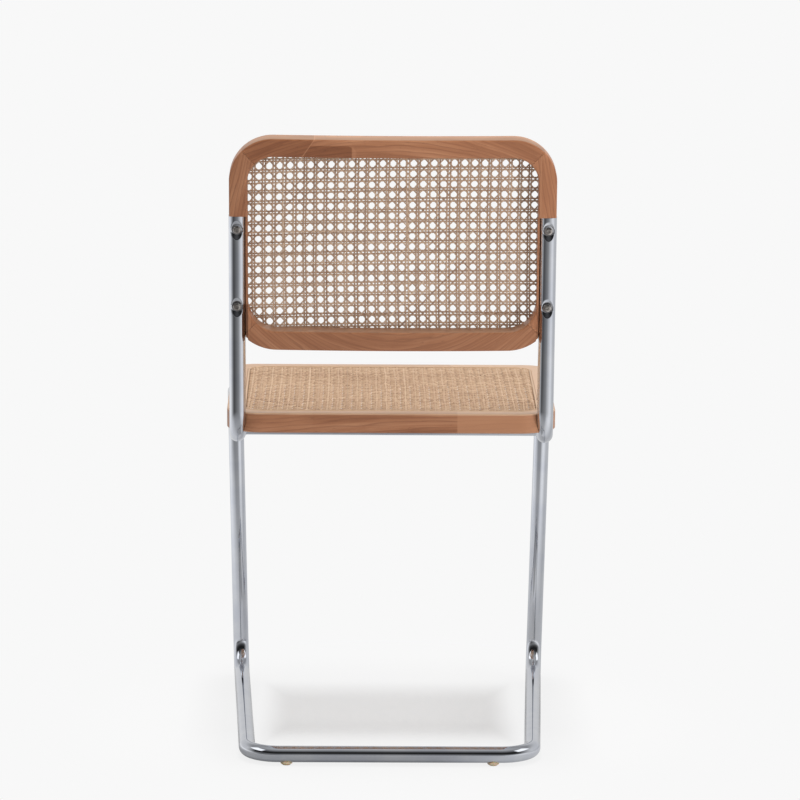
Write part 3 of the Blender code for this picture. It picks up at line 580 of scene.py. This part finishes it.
def frameRing(outer, inner, outerRadii, innerRadii):
    ring = []
    count = len(outer)
    for i in range(count):
        arcs = []
        for corners, radii in ((inner, innerRadii), (outer, outerRadii)):
            around = [Vector((*corners[k % count], 0)) for k in (i - 1, i, i + 1)]
            arcs.append(roundedCorner(*around, radii[i], rails["cornerSteps"]))
        ring.append(list(zip(*arcs)))
    return ring


def backRing():
    half = back["halfWidth"]
    innerHalf = half - back["stile"]
    bottom = back["top"] - back["height"]
    low = bottom + back["bottomRail"]
    high = back["top"] - back["topRail"]
    outer = [(half, bottom), (half, back["top"]), (-half, back["top"]), (-half, bottom)]
    inner = [(innerHalf, low), (innerHalf, high), (-innerHalf, high), (-innerHalf, low)]
    radii = [back["bottomCorner"], back["topCorner"], back["topCorner"], back["bottomCorner"]]
    return frameRing(outer, inner, radii, [r - back["stile"] for r in radii])


def seatRing():
    rear = tube["upright"] / 2 + seat["rearBeside"]
    front = tube["knee"] / 2 + seat["frontBeside"]
    behind = seat["behindElbow"]
    ahead = tube["seatRun"] - seat["behindKnee"]
    slant = math.atan2(front - rear, ahead + behind)
    inset = seat["rail"] / math.cos(slant)
    taper = seat["rail"] * math.tan(slant)
    outer = [(rear, behind), (-rear, behind), (-front, -ahead), (front, -ahead)]
    innerRear = (rear - inset + taper, behind - seat["rail"])
    innerFront = (front - inset - taper, -ahead + seat["rail"])
    inner = [innerRear, (-innerRear[0], innerRear[1]), (-innerFront[0], innerFront[1]), innerFront]
    radii = [seat["rearCorner"]] * 2 + [seat["frontCorner"]] * 2
    return frameRing(outer, inner, radii, [seat["innerCorner"]] * 4)


def between(first, last, steps):
    return [(first[0].lerp(last[0], i / steps), first[1].lerp(last[1], i / steps)) for i in range(1, steps)]


def mitredPiece(ring, index, steps):
    corner = ring[index]
    following = ring[(index + 1) % len(ring)]
    half = (len(corner) - 1) // 2
    stations = corner[half:] + between(corner[-1], following[0], steps) + following[: half + 1]
    for end, neighbour in ((0, 1), (-1, -2)):
        inner, outer = stations[end]
        along = (outer - inner).cross(Vector((0, 0, 1))).normalized()
        if along.dot(stations[neighbour][0] - inner) < 0:
            along = -along
        stations[end] = (inner + along * gap / 2, outer + along * gap / 2)
    return stations


def wholeRing(ring, steps):
    stations = []
    for corner, following in zip(ring, ring[1:] + ring[:1]):
        stations += corner + between(corner[-1], following[0], steps)
    return stations


def edgeRound(fromInner, distance, depth, radius, start):
    points = []
    for i in range(rails["edgeSteps"] + 1):
        angle = math.radians(90) * (start + i / rails["edgeSteps"])
        points.append((fromInner, distance - radius * math.cos(angle), depth - radius * math.sin(angle)))
    return points


def woodSection(thickness):  # points as: measured from the inner edge or the outer one, distance, depth
    outer, inner, arris = rails["outerEdge"], rails["innerEdge"], rails["arris"]
    ledge, depth, foot = rails["ledge"], rails["ledgeDepth"], rails["grooveDepth"]
    far = ledge + rails["groove"]
    section = [
        (True, 0.0, depth + arris), (True, arris, depth), (True, ledge, depth), (True, ledge, foot),
        (True, far, foot), (True, far, arris), (True, far + arris, 0.0),
    ]
    section += edgeRound(False, outer, outer, outer, 0)[::-1]
    section += edgeRound(False, outer, thickness - outer, outer, -1)[::-1]
    return section + edgeRound(True, inner, thickness - inner, inner, -1)


def lofted(stations, section, place):
    points = []
    for inner, outer in stations:
        across = (outer - inner).normalized()
        for fromInner, distance, depth in section:
            flat = inner + across * distance if fromInner else outer - across * distance
            points.append(place(flat.x, flat.y, depth))
    return np.array(points)


def store(mesh, name, values):  # keeps a number or a vector for each point of the mesh
    values = np.asarray(values, dtype=np.float32)
    kind, field = ("FLOAT", "value") if values.ndim == 1 else ("FLOAT_VECTOR", "vector")
    mesh.attributes.new(name, kind, "POINT").data.foreach_set(field, values.ravel())


def cutBy(piece, cutters):  # cuts the piece once by each closed mesh
    for cutter in cutters:
        tool = addObject("tool", cutter)
        step = piece.modifiers.new("cut", "BOOLEAN")
        step.operation = "DIFFERENCE"
        step.solver = "EXACT"
        step.object = tool
        bpy.context.view_layer.update()
        graph = bpy.context.evaluated_depsgraph_get()
        made = bpy.data.meshes.new_from_object(piece.evaluated_get(graph))
        piece.modifiers.remove(step)
        piece.data = made
        bpy.data.objects.remove(tool)
    shadeSmooth(piece.data)


def prism(outline, low, high, matrix):
    points = [(x, y, low) for x, y in outline] + [(x, y, high) for x, y in outline]
    return ringSolid("prism", worldPoints(matrix, points), len(outline))


# the thin strip beside the tube is planed down, so that half of the tube stands proud of the wood
planed = dict(
    width=0.0143, level=0.0042, levelTo=0.1, runOut=[(0.0062, 0.09), (0.0102, 0.081)], foot=0.076, past=0.04,
)


def uprightGroove(sign):
    radius = tubeRadius + gap
    turns = np.linspace(math.pi, 2 * math.pi, rails["grooveSteps"] + 1)
    outline = [(radius, back["thickness"]), (-radius, back["thickness"])]
    outline += [(radius * math.cos(a), radius * math.sin(a)) for a in turns]
    place = backPlace @ Matrix.Translation((sign * tube["upright"] / 2, 0, 0))
    top = tube["length"] + gap
    plane = [(planed["level"], top), (planed["level"], planed["levelTo"]), *planed["runOut"]]
    plane += [(planed["past"], planed["foot"]), (planed["past"], top)]
    sideways = Matrix(((0, 0, 1, 0), (1, 0, 0, 0), (0, 1, 0, 0), (0, 0, 0, 1)))  # outline as depth and height
    return prism(outline, 0, top, place), prism(plane, 0, -sign * planed["width"], place @ sideways)


def tubeSpace():  # the fat tube from the elbows to past the knees, which the seat's rails are let down over
    path = tubePath()
    count = 2 * tube["bendSteps"] + 3
    sides = rails["spaceSides"]
    cuts = []
    for part in (path[:count], path[-count:]):
        rings = sweptRings(part, tubeRadius + gap, sides)
        rings[-1] = sweptRings(part[-2:], tubeRadius + gap, sides)[-1]
        cuts.append(ringSolid("tubeSpace", [p for ring in rings for p in ring], sides))
    return cuts


def makeRail(node, stations, section, place, matrix, along, arch, finish, cuts):
    points = worldPoints(matrix, lofted(stations, section, place))
    piece = addPiece(ringSolid(pieceName(node), points, len(section)), finish, node)
    cutBy(piece, cuts)
    flat = worldPoints(matrix.inverted(), [v.co for v in piece.data.vertices])
    if matrix == backPlace:
        flat[:, 1] -= bow(flat[:, 0])
    order = {"up": (2, 0, 1), "across": (0, 2, 1), "forward": (1, 2, 0)}[along]
    grain = flat[:, order]
    grain[:, 1] += arch * grain[:, 0] ** 2  # the growth rings arch along a board that was sawn to a curve
    tilt = rng.uniform(-wood["offTrue"], wood["offTrue"])  # boards are rarely cut true to the grain
    grain = grain + np.outer(grain[:, 0] * tilt, (0, 1, 0.6)) + rng.uniform(-3, 3, 3)
    store(piece.data, "grain", grain)
    store(piece.data, "rail", flat[:, (0, 2, 1)])


# the back's pieces in the order of its ring: finish and arch of the grain
backRails = dict(
    back_right_stile=(beechDark, 0.3), back_top_rail=(beechTop, 1.35),
    back_left_stile=(beechStrip, -0.3), back_bottom_rail=(beechDark, -2.6),
)


def makeBackFrame():
    section, ring = woodSection(back["thickness"]), backRing()
    grooves = {"right": uprightGroove(1), "left": uprightGroove(-1)}
    for index, (node, (finish, arch)) in enumerate(backRails.items()):
        stile = "stile" in node
        stations = mitredPiece(ring, index, back["stileSteps"] if stile else rails["bowSteps"])
        sides = [side for side in grooves if side in node or node == "back_bottom_rail"]
        cuts = [cut for side in sides for cut in grooves[side]]
        along = "up" if stile else "across"
        makeRail(node, stations, section, onBack, backPlace, along, arch, finish, cuts)


def makeSeatFrame():
    section, ring, spaces = woodSection(seat["thickness"]), seatRing(), tubeSpace()
    for index, side in enumerate(("rear", "left", "front", "right")):
        along = "forward" if side in ("left", "right") else "across"
        stations = mitredPiece(ring, index, seat["railSteps"])
        node = f"seat_{side}_rail"
        makeRail(node, stations, section, onSeat, seatPlace, along, seat["arch"], beechSeat, spaces)


makeBackFrame()
makeSeatFrame()
print("frames made")


# six-way cane: pairs of strands up and across, and one of each diagonal through the middle of every span
weave = dict(
    strand=0.0022, slant=0.00188, thick=0.00085, pair=0.0016, lift=0.00052, slantLift=0.00056, apart=0.0,
    steps=10, stray=0.00014, wander=0.00022, tuck=0.0048, tuckDrop=0.0022, tuckRun=0.2, depth=0.0014,
    uneven=(0.93, 1.06),
)
seatWeave = dict(weave, strand=0.0023, slant=0.002, thick=0.00148, pair=0.00168, apart=0.0001)
# the back's sheet was pressed in a little askew: its rows rise to one side and arch, its columns bow
backSheet = dict(
    pitch=(0.01346, 0.01403), origin=(0.00789, 0.26788), rise=-0.0032, arch=-0.0034, bowed=-0.0018,
    swell=0.0012, tone=0.5, uneven=0.13,
)
seatSheet = dict(
    pitch=(0.01325, 0.0134), origin=(0.0043, -0.2070), rise=0.0006, arch=0.0015, bowed=0.0008, swell=0.0,
    tone=0.55, uneven=0.13,
)


class Panel:  # one caned opening: where its strands lie and end
    def __init__(self, name, ring, place, matrix, finish, sheet, sizes):
        self.name, self.ring, self.place, self.matrix = name, ring, place, matrix
        self.finish, self.sheet, self.sizes = finish, sheet, sizes
        self.pitch = np.array(sheet["pitch"])
        self.origin = np.array(sheet["origin"])
        pairs = [pair for corner in ring for pair in corner]
        tucked = [inner + (outer - inner).normalized() * weave["tuck"] for inner, outer in pairs]
        edge = np.array(tucked)[:, :2]
        self.low, self.high = edge.min(axis=0), edge.max(axis=0)
        step = np.roll(edge, -1, axis=0) - edge
        normals = np.column_stack([step[:, 1], -step[:, 0]])
        normals /= np.linalg.norm(normals, axis=1)[:, None]
        outward = np.sign(((edge - edge.mean(axis=0)) * normals).sum(axis=1))
        self.normals = normals * outward[:, None]
        self.limits = (edge * self.normals).sum(axis=1)

    def count(self, axis):  # the first and last pitch that touch the opening
        first = math.floor((self.low[axis] - self.origin[axis]) / self.pitch[axis]) - 1
        return first, math.ceil((self.high[axis] - self.origin[axis]) / self.pitch[axis]) + 1

    def stations(self, axis):  # closely spaced places along an axis, in pitches
        start, stop = self.count(axis)
        return np.arange(start * weave["steps"], stop * weave["steps"] + 1) / weave["steps"]

    def lay(self, u, v):  # from the sheet's own pitches to the opening, as the sheet was drawn in
        flat = self.origin + np.column_stack([u, v]) * self.pitch
        middle = (self.low + self.high) / 2
        s, t = ((flat - middle) / (self.high - self.low) * 2).T
        flat[:, 0] += self.sheet["swell"] * s * s + self.sheet["bowed"] * t * t
        flat[:, 1] += self.sheet["rise"] * s + self.sheet["arch"] * s * s
        return flat

    def trim(self, path):  # the stretch inside the rounded outline, with its ends tucked into the groove
        past = (path[:, :2] @ self.normals.T - self.limits).max(axis=1)
        inside = np.nonzero(past < 0)[0]
        if len(inside) < 4:
            return None
        first, last = inside[0], inside[-1]
        ends = []
        for at, beyond in ((first, first - 1), (last, last + 1)):
            end = path[at] + (path[beyond] - path[at]) * (past[at] / (past[at] - past[beyond]))
            tucked = end + (end - path[at]) * weave["tuckRun"] - (0, 0, weave["tuckDrop"])
            ends.append([end, tucked])
        return np.vstack([ends[0][::-1], path[first:last + 1], ends[1]])


def strandWave(offset, pair, span, lift):
    # offset: from the nearest crossing's middle; it rises to lift over one strand and falls under the other
    inside = np.clip(offset / pair, -1, 1)
    rise = np.sin(inside * math.pi / 2)
    fade = np.clip((span / 2 - np.abs(offset)) / (span / 2 - pair), 0, 1)
    return lift * rise * (0.5 - 0.5 * np.cos(math.pi * fade))


def wander(run):  # a strand's slow drift to the side
    drift = 0
    for _ in range(2):
        size = weave["wander"] * rng.normal()
        drift = drift + size * np.sin(run * rng.uniform(0.25, 0.7) + rng.uniform(0, 6.3))
    return rng.normal(0, weave["stray"]) + drift


def straightStrands(panel, axis):
    # axis 0: strands that run up the panel; axis 1: strands that run across it
    other = 1 - axis
    sizes = panel.sizes
    first, last = panel.count(axis)
    along = panel.stations(other)
    turn = 1 if axis == 0 else -1
    made = []
    for i in range(first, last + 1):
        for sign in (-1, 1):
            at = i + (sign * sizes["pair"] + wander(along)) / panel.pitch[axis]
            flat = panel.lay(at, along) if axis == 0 else panel.lay(along, at)
            offset = (along - np.round(along)) * panel.pitch[other]
            height = strandWave(offset, sizes["pair"], panel.pitch[other], sizes["lift"]) * sign * turn
            made.append(np.column_stack([flat, height + sizes["apart"] * sign]))
    return made


def slantStrands(panel, slope):
    (first, last), (start, stop) = panel.count(0), panel.count(1)
    run = panel.stations(1)
    made = []
    for k in range(first - (stop - start), last + (stop - start) + 1):
        sideways = wander(run) / panel.pitch[0]
        flat = panel.lay(k + 0.5 + run * slope + sideways, run)
        height = panel.sizes["slantLift"] * slope * np.cos(2 * math.pi * run)
        made.append(np.column_stack([flat, height]))
    return made


strandShape = [(-0.5, 0.0), (-0.28, 0.5), (0.28, 0.5), (0.5, 0.0), (0.28, -0.4), (-0.28, -0.4)]


def ribbon(points, width, thick):
    # points: two across the panel and the height; gives the strand's rings, and the same rings in its grain
    heading = np.gradient(points[:, :2], axis=0)
    heading /= np.linalg.norm(heading, axis=1)[:, None]
    sideways = np.column_stack([-heading[:, 1], heading[:, 0], np.zeros(len(points))])
    steps = np.linalg.norm(np.diff(points, axis=0), axis=1)
    run = np.concatenate([[0], np.cumsum(steps)])
    start = rng.uniform(-2, 2, 3)
    rows, grain = [], []
    for side, height in strandShape:
        rows.append(points + sideways * side * width + (0, 0, height * thick))
        flat = [run, np.full(len(run), side * width), np.full(len(run), height * thick)]
        grain.append(np.column_stack(flat) + start)
    return np.stack(rows, axis=1), np.stack(grain, axis=1)


def makeWeave(panel, kind, strands, grains, tones):  # all strands of one kind as one piece
    sides = len(strandShape)
    faces = []
    total = 0
    for strand in strands:
        faces += [tuple(k + total for k in face) for face in closedFaces(len(strand), sides)]
        total += len(strand) * sides
    points = np.concatenate(strands).reshape(-1, 3)
    placed = panel.place(points[:, 0], points[:, 1], weave["depth"] - points[:, 2])
    placed = worldPoints(panel.matrix, np.column_stack(np.broadcast_arrays(*placed)))
    mesh = solidMesh(panel.name + kind, placed, faces)
    store(mesh, "grain", np.concatenate(grains).reshape(-1, 3))
    store(mesh, "tone", np.repeat(tones, [len(strand) * sides for strand in strands]))
    addPiece(mesh, panel.finish, panel.name + "_cane", 60)


def weavePanel(panel):
    strand, slant = panel.sizes["strand"], panel.sizes["slant"]
    sets = {
        "CaneUpright": (straightStrands(panel, 0), strand),
        "CaneAcross": (straightStrands(panel, 1), strand),
        "CaneSlant": (slantStrands(panel, 1), slant),
        "CaneSlantBack": (slantStrands(panel, -1), slant),
    }
    for kind, (paths, width) in sets.items():
        strands, grains, tones = [], [], []
        for path in paths:
            points = panel.trim(path)
            if points is None:
                continue
            wide = width * rng.uniform(*weave["uneven"])
            tones.append(rng.normal(panel.sheet["tone"], panel.sheet["uneven"]))
            rows, grain = ribbon(points, wide, panel.sizes["thick"])
            strands.append(rows)
            grains.append(grain)
        makeWeave(panel, kind, strands, grains, tones)


backPanel = Panel("back", backRing(), onBack, backPlace, backCane, backSheet, weave)
seatPanel = Panel("seat", seatRing(), onSeat, seatPlace, seatCane, seatSheet, seatWeave)
weavePanel(backPanel)
weavePanel(seatPanel)
print("cane woven")


spline = dict(crown=0.0011, rim=0.0004, lip=0.001, steps=9, tone=0.62, stationRun=0.004, seatSteps=8)


def makeSpline(panel, steps):
    near = rails["ledge"] + 2 * gap + spline["lip"]
    far = rails["ledge"] + rails["groove"] - gap
    foot = rails["grooveDepth"] - gap
    middle, half = (near + far) / 2, (far - near) / 2
    turns = [math.pi * i / spline["steps"] for i in range(spline["steps"] + 1)]
    rim, crown = spline["rim"], spline["crown"]
    section = [(True, middle - half * math.cos(a), rim - crown * math.sin(a)) for a in turns]
    section += [(True, far, foot), (True, near, foot)]
    stations = wholeRing(panel.ring, steps)
    count, around = len(stations), len(section)
    points = worldPoints(panel.matrix, lofted(stations, section, panel.place))
    faces = [tuple(k % len(points) for k in face) for face in ringFaces(count + 1, around)]
    node = panel.name + "_spline"
    mesh = solidMesh(pieceName(node), points, faces)
    addPiece(mesh, panel.finish, node)
    run = np.repeat(np.arange(count) * spline["stationRun"], around)
    store(mesh, "grain", np.column_stack([run, np.tile(np.array(section)[:, 1:], (count, 1))]))
    store(mesh, "tone", np.full(len(points), spline["tone"]))


makeSpline(backPanel, rails["bowSteps"])
makeSpline(seatPanel, spline["seatSteps"])
print("splines pressed in")


screw = dict(
    head=0.011, headHeight=0.0028, seatHeadHeight=0.003, shank=0.005, length=0.0235, seatLength=0.0353,
    socket=0.0042, socketDepth=0.0016, socketMouth=1.08, socketMiddle=0.05, edge=0.0001, foot=0.97, sides=48,
    dome=[(0.55, 0.985), (0.7, 0.9), (0.82, 0.76), (0.92, 0.56), (0.98, 0.34), (1.0, 0.18)],
)


def screwRings(height, length):
    angles = [2 * math.pi * k / screw["sides"] for k in range(screw["sides"])]
    head, shank, socket, edge = screw["head"] / 2, screw["shank"] / 2, screw["socket"] / 2, screw["edge"]
    floor = height - screw["socketDepth"]

    def circle(radius, z):
        return [(radius * math.cos(a), radius * math.sin(a), z) for a in angles]

    def hexagon(radius, z):
        flats = [math.cos(math.pi / 6) / math.cos(a % (math.pi / 3) - math.pi / 6) for a in angles]
        return [(x * flat, y * flat, z) for flat, (x, y, z) in zip(flats, circle(radius, z))]

    rings = [hexagon(socket * screw["socketMiddle"], floor), hexagon(socket, floor)]
    rings += [hexagon(socket, height - edge), hexagon(socket * screw["socketMouth"], height)]
    rings += [circle(head * r, height * z) for r, z in screw["dome"]]
    rings += [circle(head, edge), circle(head * screw["foot"], 0), circle(shank, 0), circle(shank, -length)]
    return rings


def makeScrew(node, matrix, height, length):
    points = worldPoints(matrix, [p for ring in screwRings(height, length) for p in ring])
    addPiece(ringSolid(pieceName(node), points, screw["sides"]), screwSteel, node, 35)


def makeScrews():
    headSeat = tubeRadius - dimpleDepth + gap
    facingBack = Matrix.Rotation(math.radians(-90), 4, "X")
    facingDown = Matrix.Rotation(math.pi, 4, "X")
    for (x, up), name in zip(screwPlaces, ("right_lower", "right_upper", "left_lower", "left_upper")):
        at = backPlace @ Matrix.Translation((x, headSeat, up)) @ facingBack
        makeScrew("back_screw_" + name, at, screw["headHeight"], screw["length"])
    for name in ("right_rear", "right_front", "left_rear", "left_front"):
        low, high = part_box("seat_screw_" + name)
        place = seatPlace.inverted() @ ((low + high) / 2)
        at = seatPlace @ Matrix.Translation((place.x, place.y, -tubeRadius - gap)) @ facingDown
        makeScrew("seat_screw_" + name, at, screw["seatHeadHeight"], screw["seatLength"])


makeScrews()


def finishCarriedNodes():
    for name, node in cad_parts.items():
        for kind, finish in (("insert", brass), ("dowel", beech), ("glide", nylon)):
            if kind in name and not node.hide_render:
                node.data.materials.clear()
                node.data.materials.append(finish)
        if "dowel" in name:
            store(node.data, "grain", [v.co for v in node.data.vertices])


finishCarriedNodes()
print("fixings made")


# the studio: a pale floor that keeps the shadow, soft light from above, and a set for the chrome to mirror
studio = dict(
    paper=0.939, floorColour=0.76, floorMirrored=0.4, window=1.35, floorSize=12.0, near=0.7, far=1.4,
    floorShare=0.28, floorOutside=0.88, floorGlossy=0.5, shadeAhead=0.035,
    shadeWide=0.135, shadeWideFade=0.05, shadeDeep=0.07, shadeDeepFade=0.14,
)

# what stands round the chair as the chrome shows it: dark to the camera's left, a bright window to its right
aroundNear = [
    (-180, 0.62), (-135, 0.75), (-100, 0.85), (-70, 0.62), (-50, 0.36), (-30, 0.31), (-4, 0.3), (14, 0.36),
    (30, 0.74), (48, 0.92), (64, 0.9), (84, 0.66), (104, 0.5), (134, 0.58), (180, 0.62),
]
aroundFar = [
    (-180, 0.62), (-114, 1.0), (-88, 0.72), (-70, 0.34), (-56, 0.13), (-45, 0.075), (-34, 0.12), (-18, 0.17),
    (8, 0.28), (23, 0.48), (38, 0.66), (55, 0.88), (70, 0.84), (92, 0.59), (140, 0.6), (180, 0.62),
]
cameraSide = [(-180, 0), (-110, 0), (-75, 1), (55, 1), (100, 0), (180, 0)]
windowSides = [(-112, 0), (-104, 1), (-62, 1), (-54, 0), (54, 0), (62, 1), (104, 1), (112, 0)]
# brightness from the horizon, 0, to straight above, 1
aboveCamera = [
    (0.0, 0.32), (0.08, 0.2), (0.167, 0.068), (0.25, 0.02), (0.33, 0.013), (0.42, 0.03), (0.48, 0.07),
    (0.63, 0.233), (0.81, 0.42), (1.0, 0.54),
]
aboveSides = [(0.0, 0.7), (0.3, 0.62), (0.5, 0.3), (0.75, 0.4), (1.0, 0.54)]
ambient = [(0.0, 0.55), (0.1, 0.65), (0.5, 0.84), (0.62, 0.65), (0.75, 0.45), (1.0, 0.4)]


def makeWorld():
    world = bpy.data.worlds.new("studioWorld")
    world.use_nodes = True
    nodes = Nodes(world.node_tree)
    ray = nodes.node("ShaderNodeTexCoord", output="Generated")
    *_, angle = nodes.compass(ray)
    height = nodes.split(ray, "Z").atLeast(0.0)
    rise = height.math("ARCSINE", height) / (math.pi / 2)
    sides, ahead = nodes.greys(rise, aboveSides), nodes.greys(rise, aboveCamera)
    level = nodes.mix(nodes.dial(angle, cameraSide), sides, ahead)
    mirrored = nodes.mix(rise.ramp(0.0, 0.12), nodes.dial(angle, aroundFar), level)
    band = rise.ramp(0.36, 0.4) * (1 - rise.ramp(0.6, 0.64))
    windows = nodes.mix(band, grey(0), nodes.dial(angle, windowSides))
    mirrored = nodes.mix(windows, mirrored, grey(studio["window"]))
    colour = nodes.mix(nodes.rayIs("Glossy"), nodes.greys(rise, ambient), mirrored)
    seen = nodes.rayIs("Camera").atLeast(nodes.rayIs("Transmission"))
    colour = nodes.mix(seen, colour, grey(studio["paper"]))
    nodes.put(world.node_tree.nodes["Background"].inputs["Color"], colour)
    bpy.context.scene.world = world


def makeFloor():
    size = studio["floorSize"]
    corners = [(size * x, size * y, 0) for x, y in ((-1, -1), (1, -1), (1, 1), (-1, 1))]
    mesh = bpy.data.meshes.new("studioFloor")
    mesh.from_pydata(corners, [], [(0, 1, 2, 3)])
    floor = addObject("studioFloor", mesh)
    material = bpy.data.materials.new("paperFloor")
    material.use_nodes = True
    tree = material.node_tree
    tree.nodes.remove(tree.nodes["Principled BSDF"])
    nodes = Nodes(tree)
    right, behind, angle = nodes.compass(nodes.objectPlace())
    reach = (right * right + behind * behind) ** 0.5
    outward = reach.ramp(studio["near"], studio["far"])
    mirrored = nodes.mix(outward, nodes.dial(angle, aroundNear), nodes.dial(angle, aroundFar))
    glossy, seen = nodes.rayIs("Glossy"), nodes.rayIs("Camera")
    shade = nodes.mix(glossy, grey(studio["paper"]), mirrored)
    glow = nodes.node("ShaderNodeEmission", None, {"Color": shade, "Strength": 1.0})
    paint = nodes.mix(glossy, grey(studio["floorColour"]), grey(studio["floorMirrored"]))
    diffuse = nodes.node("ShaderNodeBsdfDiffuse", None, {"Color": paint})
    # the camera sees more of the shadow in a soft patch below the seat, and nearly white paper outside it
    beside = (abs(right) - studio["shadeWide"]) / studio["shadeWideFade"]
    beyond = (abs(behind + studio["shadeAhead"]) - studio["shadeDeep"]) / studio["shadeDeepFade"]
    least, outside, inGloss = studio["floorShare"], studio["floorOutside"], studio["floorGlossy"]
    seenGlow = least + beside.atLeast(beyond).ramp(0, 1) * (outside - least)
    seenGlow = seenGlow + reach.ramp(0.3, 0.5) * (1 - outside)
    glossyGlow = inGloss + reach.ramp(0.3, 0.9) * (1 - inGloss)
    share = seen * seenGlow + glossy * glossyGlow
    blend = nodes.node("ShaderNodeMixShader", None, {0: share, 1: diffuse, 2: glow})
    nodes.put(tree.nodes["Material Output"].inputs["Surface"], blend)
    mesh.materials.append(material)


lamps = dict(
    overheadBox=dict(size=(0.4, 1.4), power=82.0, at=(0.0, 0.3, 3.4), aim=(0, 0, 0.3), colour=(1, 1, 1)),
    keyBox=dict(size=(1.1, 0.8), power=66.0, at=(-3.2, 2.9, 0.55), aim=(0, 0, 0.6), colour=(0.97, 0.98, 1.0)),
)


def makeLamp(name, size, power, at, aim, colour):
    data = bpy.data.lights.new(name, "AREA")
    data.shape = "RECTANGLE"
    data.size, data.size_y = size
    data.energy = power
    data.color = colour
    lamp = addObject(name, data)
    lamp.location = at
    lamp.rotation_euler = (Vector(aim) - Vector(at)).to_track_quat("-Z", "Y").to_euler()
    lamp.visible_glossy = False


camera = dict(
    across=0.0427, behind=5.2, height=1.2975, pitch=8.93, yaw=0.595, roll=0.356,
    focal=3953.5, frameWidth=800, sensor=36.0,
)


def makeCamera():
    data = bpy.data.cameras.new("photoCamera")
    data.sensor_width = camera["sensor"]
    data.lens = camera["focal"] * camera["sensor"] / camera["frameWidth"]
    pitch, yaw, roll = (math.radians(camera[key]) for key in ("pitch", "yaw", "roll"))
    forward = Vector((-math.sin(yaw) * math.cos(pitch), -math.cos(yaw) * math.cos(pitch), -math.sin(pitch)))
    right = Vector((-math.cos(yaw), math.sin(yaw), 0))
    up = right.cross(forward)
    tiltedRight = right * math.cos(roll) + up * math.sin(roll)
    tiltedUp = up * math.cos(roll) - right * math.sin(roll)
    turn = Matrix((tiltedRight, tiltedUp, -forward)).transposed().to_4x4()
    eye = addObject("photoCamera", data)
    place = Vector((camera["across"], datum.y + camera["behind"], camera["height"]))
    eye.matrix_world = Matrix.Translation(place) @ turn
    bpy.context.scene.camera = eye


makeWorld()
makeFloor()
makeCamera()
for name, lamp in lamps.items():
    makeLamp(name, **lamp)
bpy.context.scene.view_settings.view_transform = "Standard"
print("studio lit")
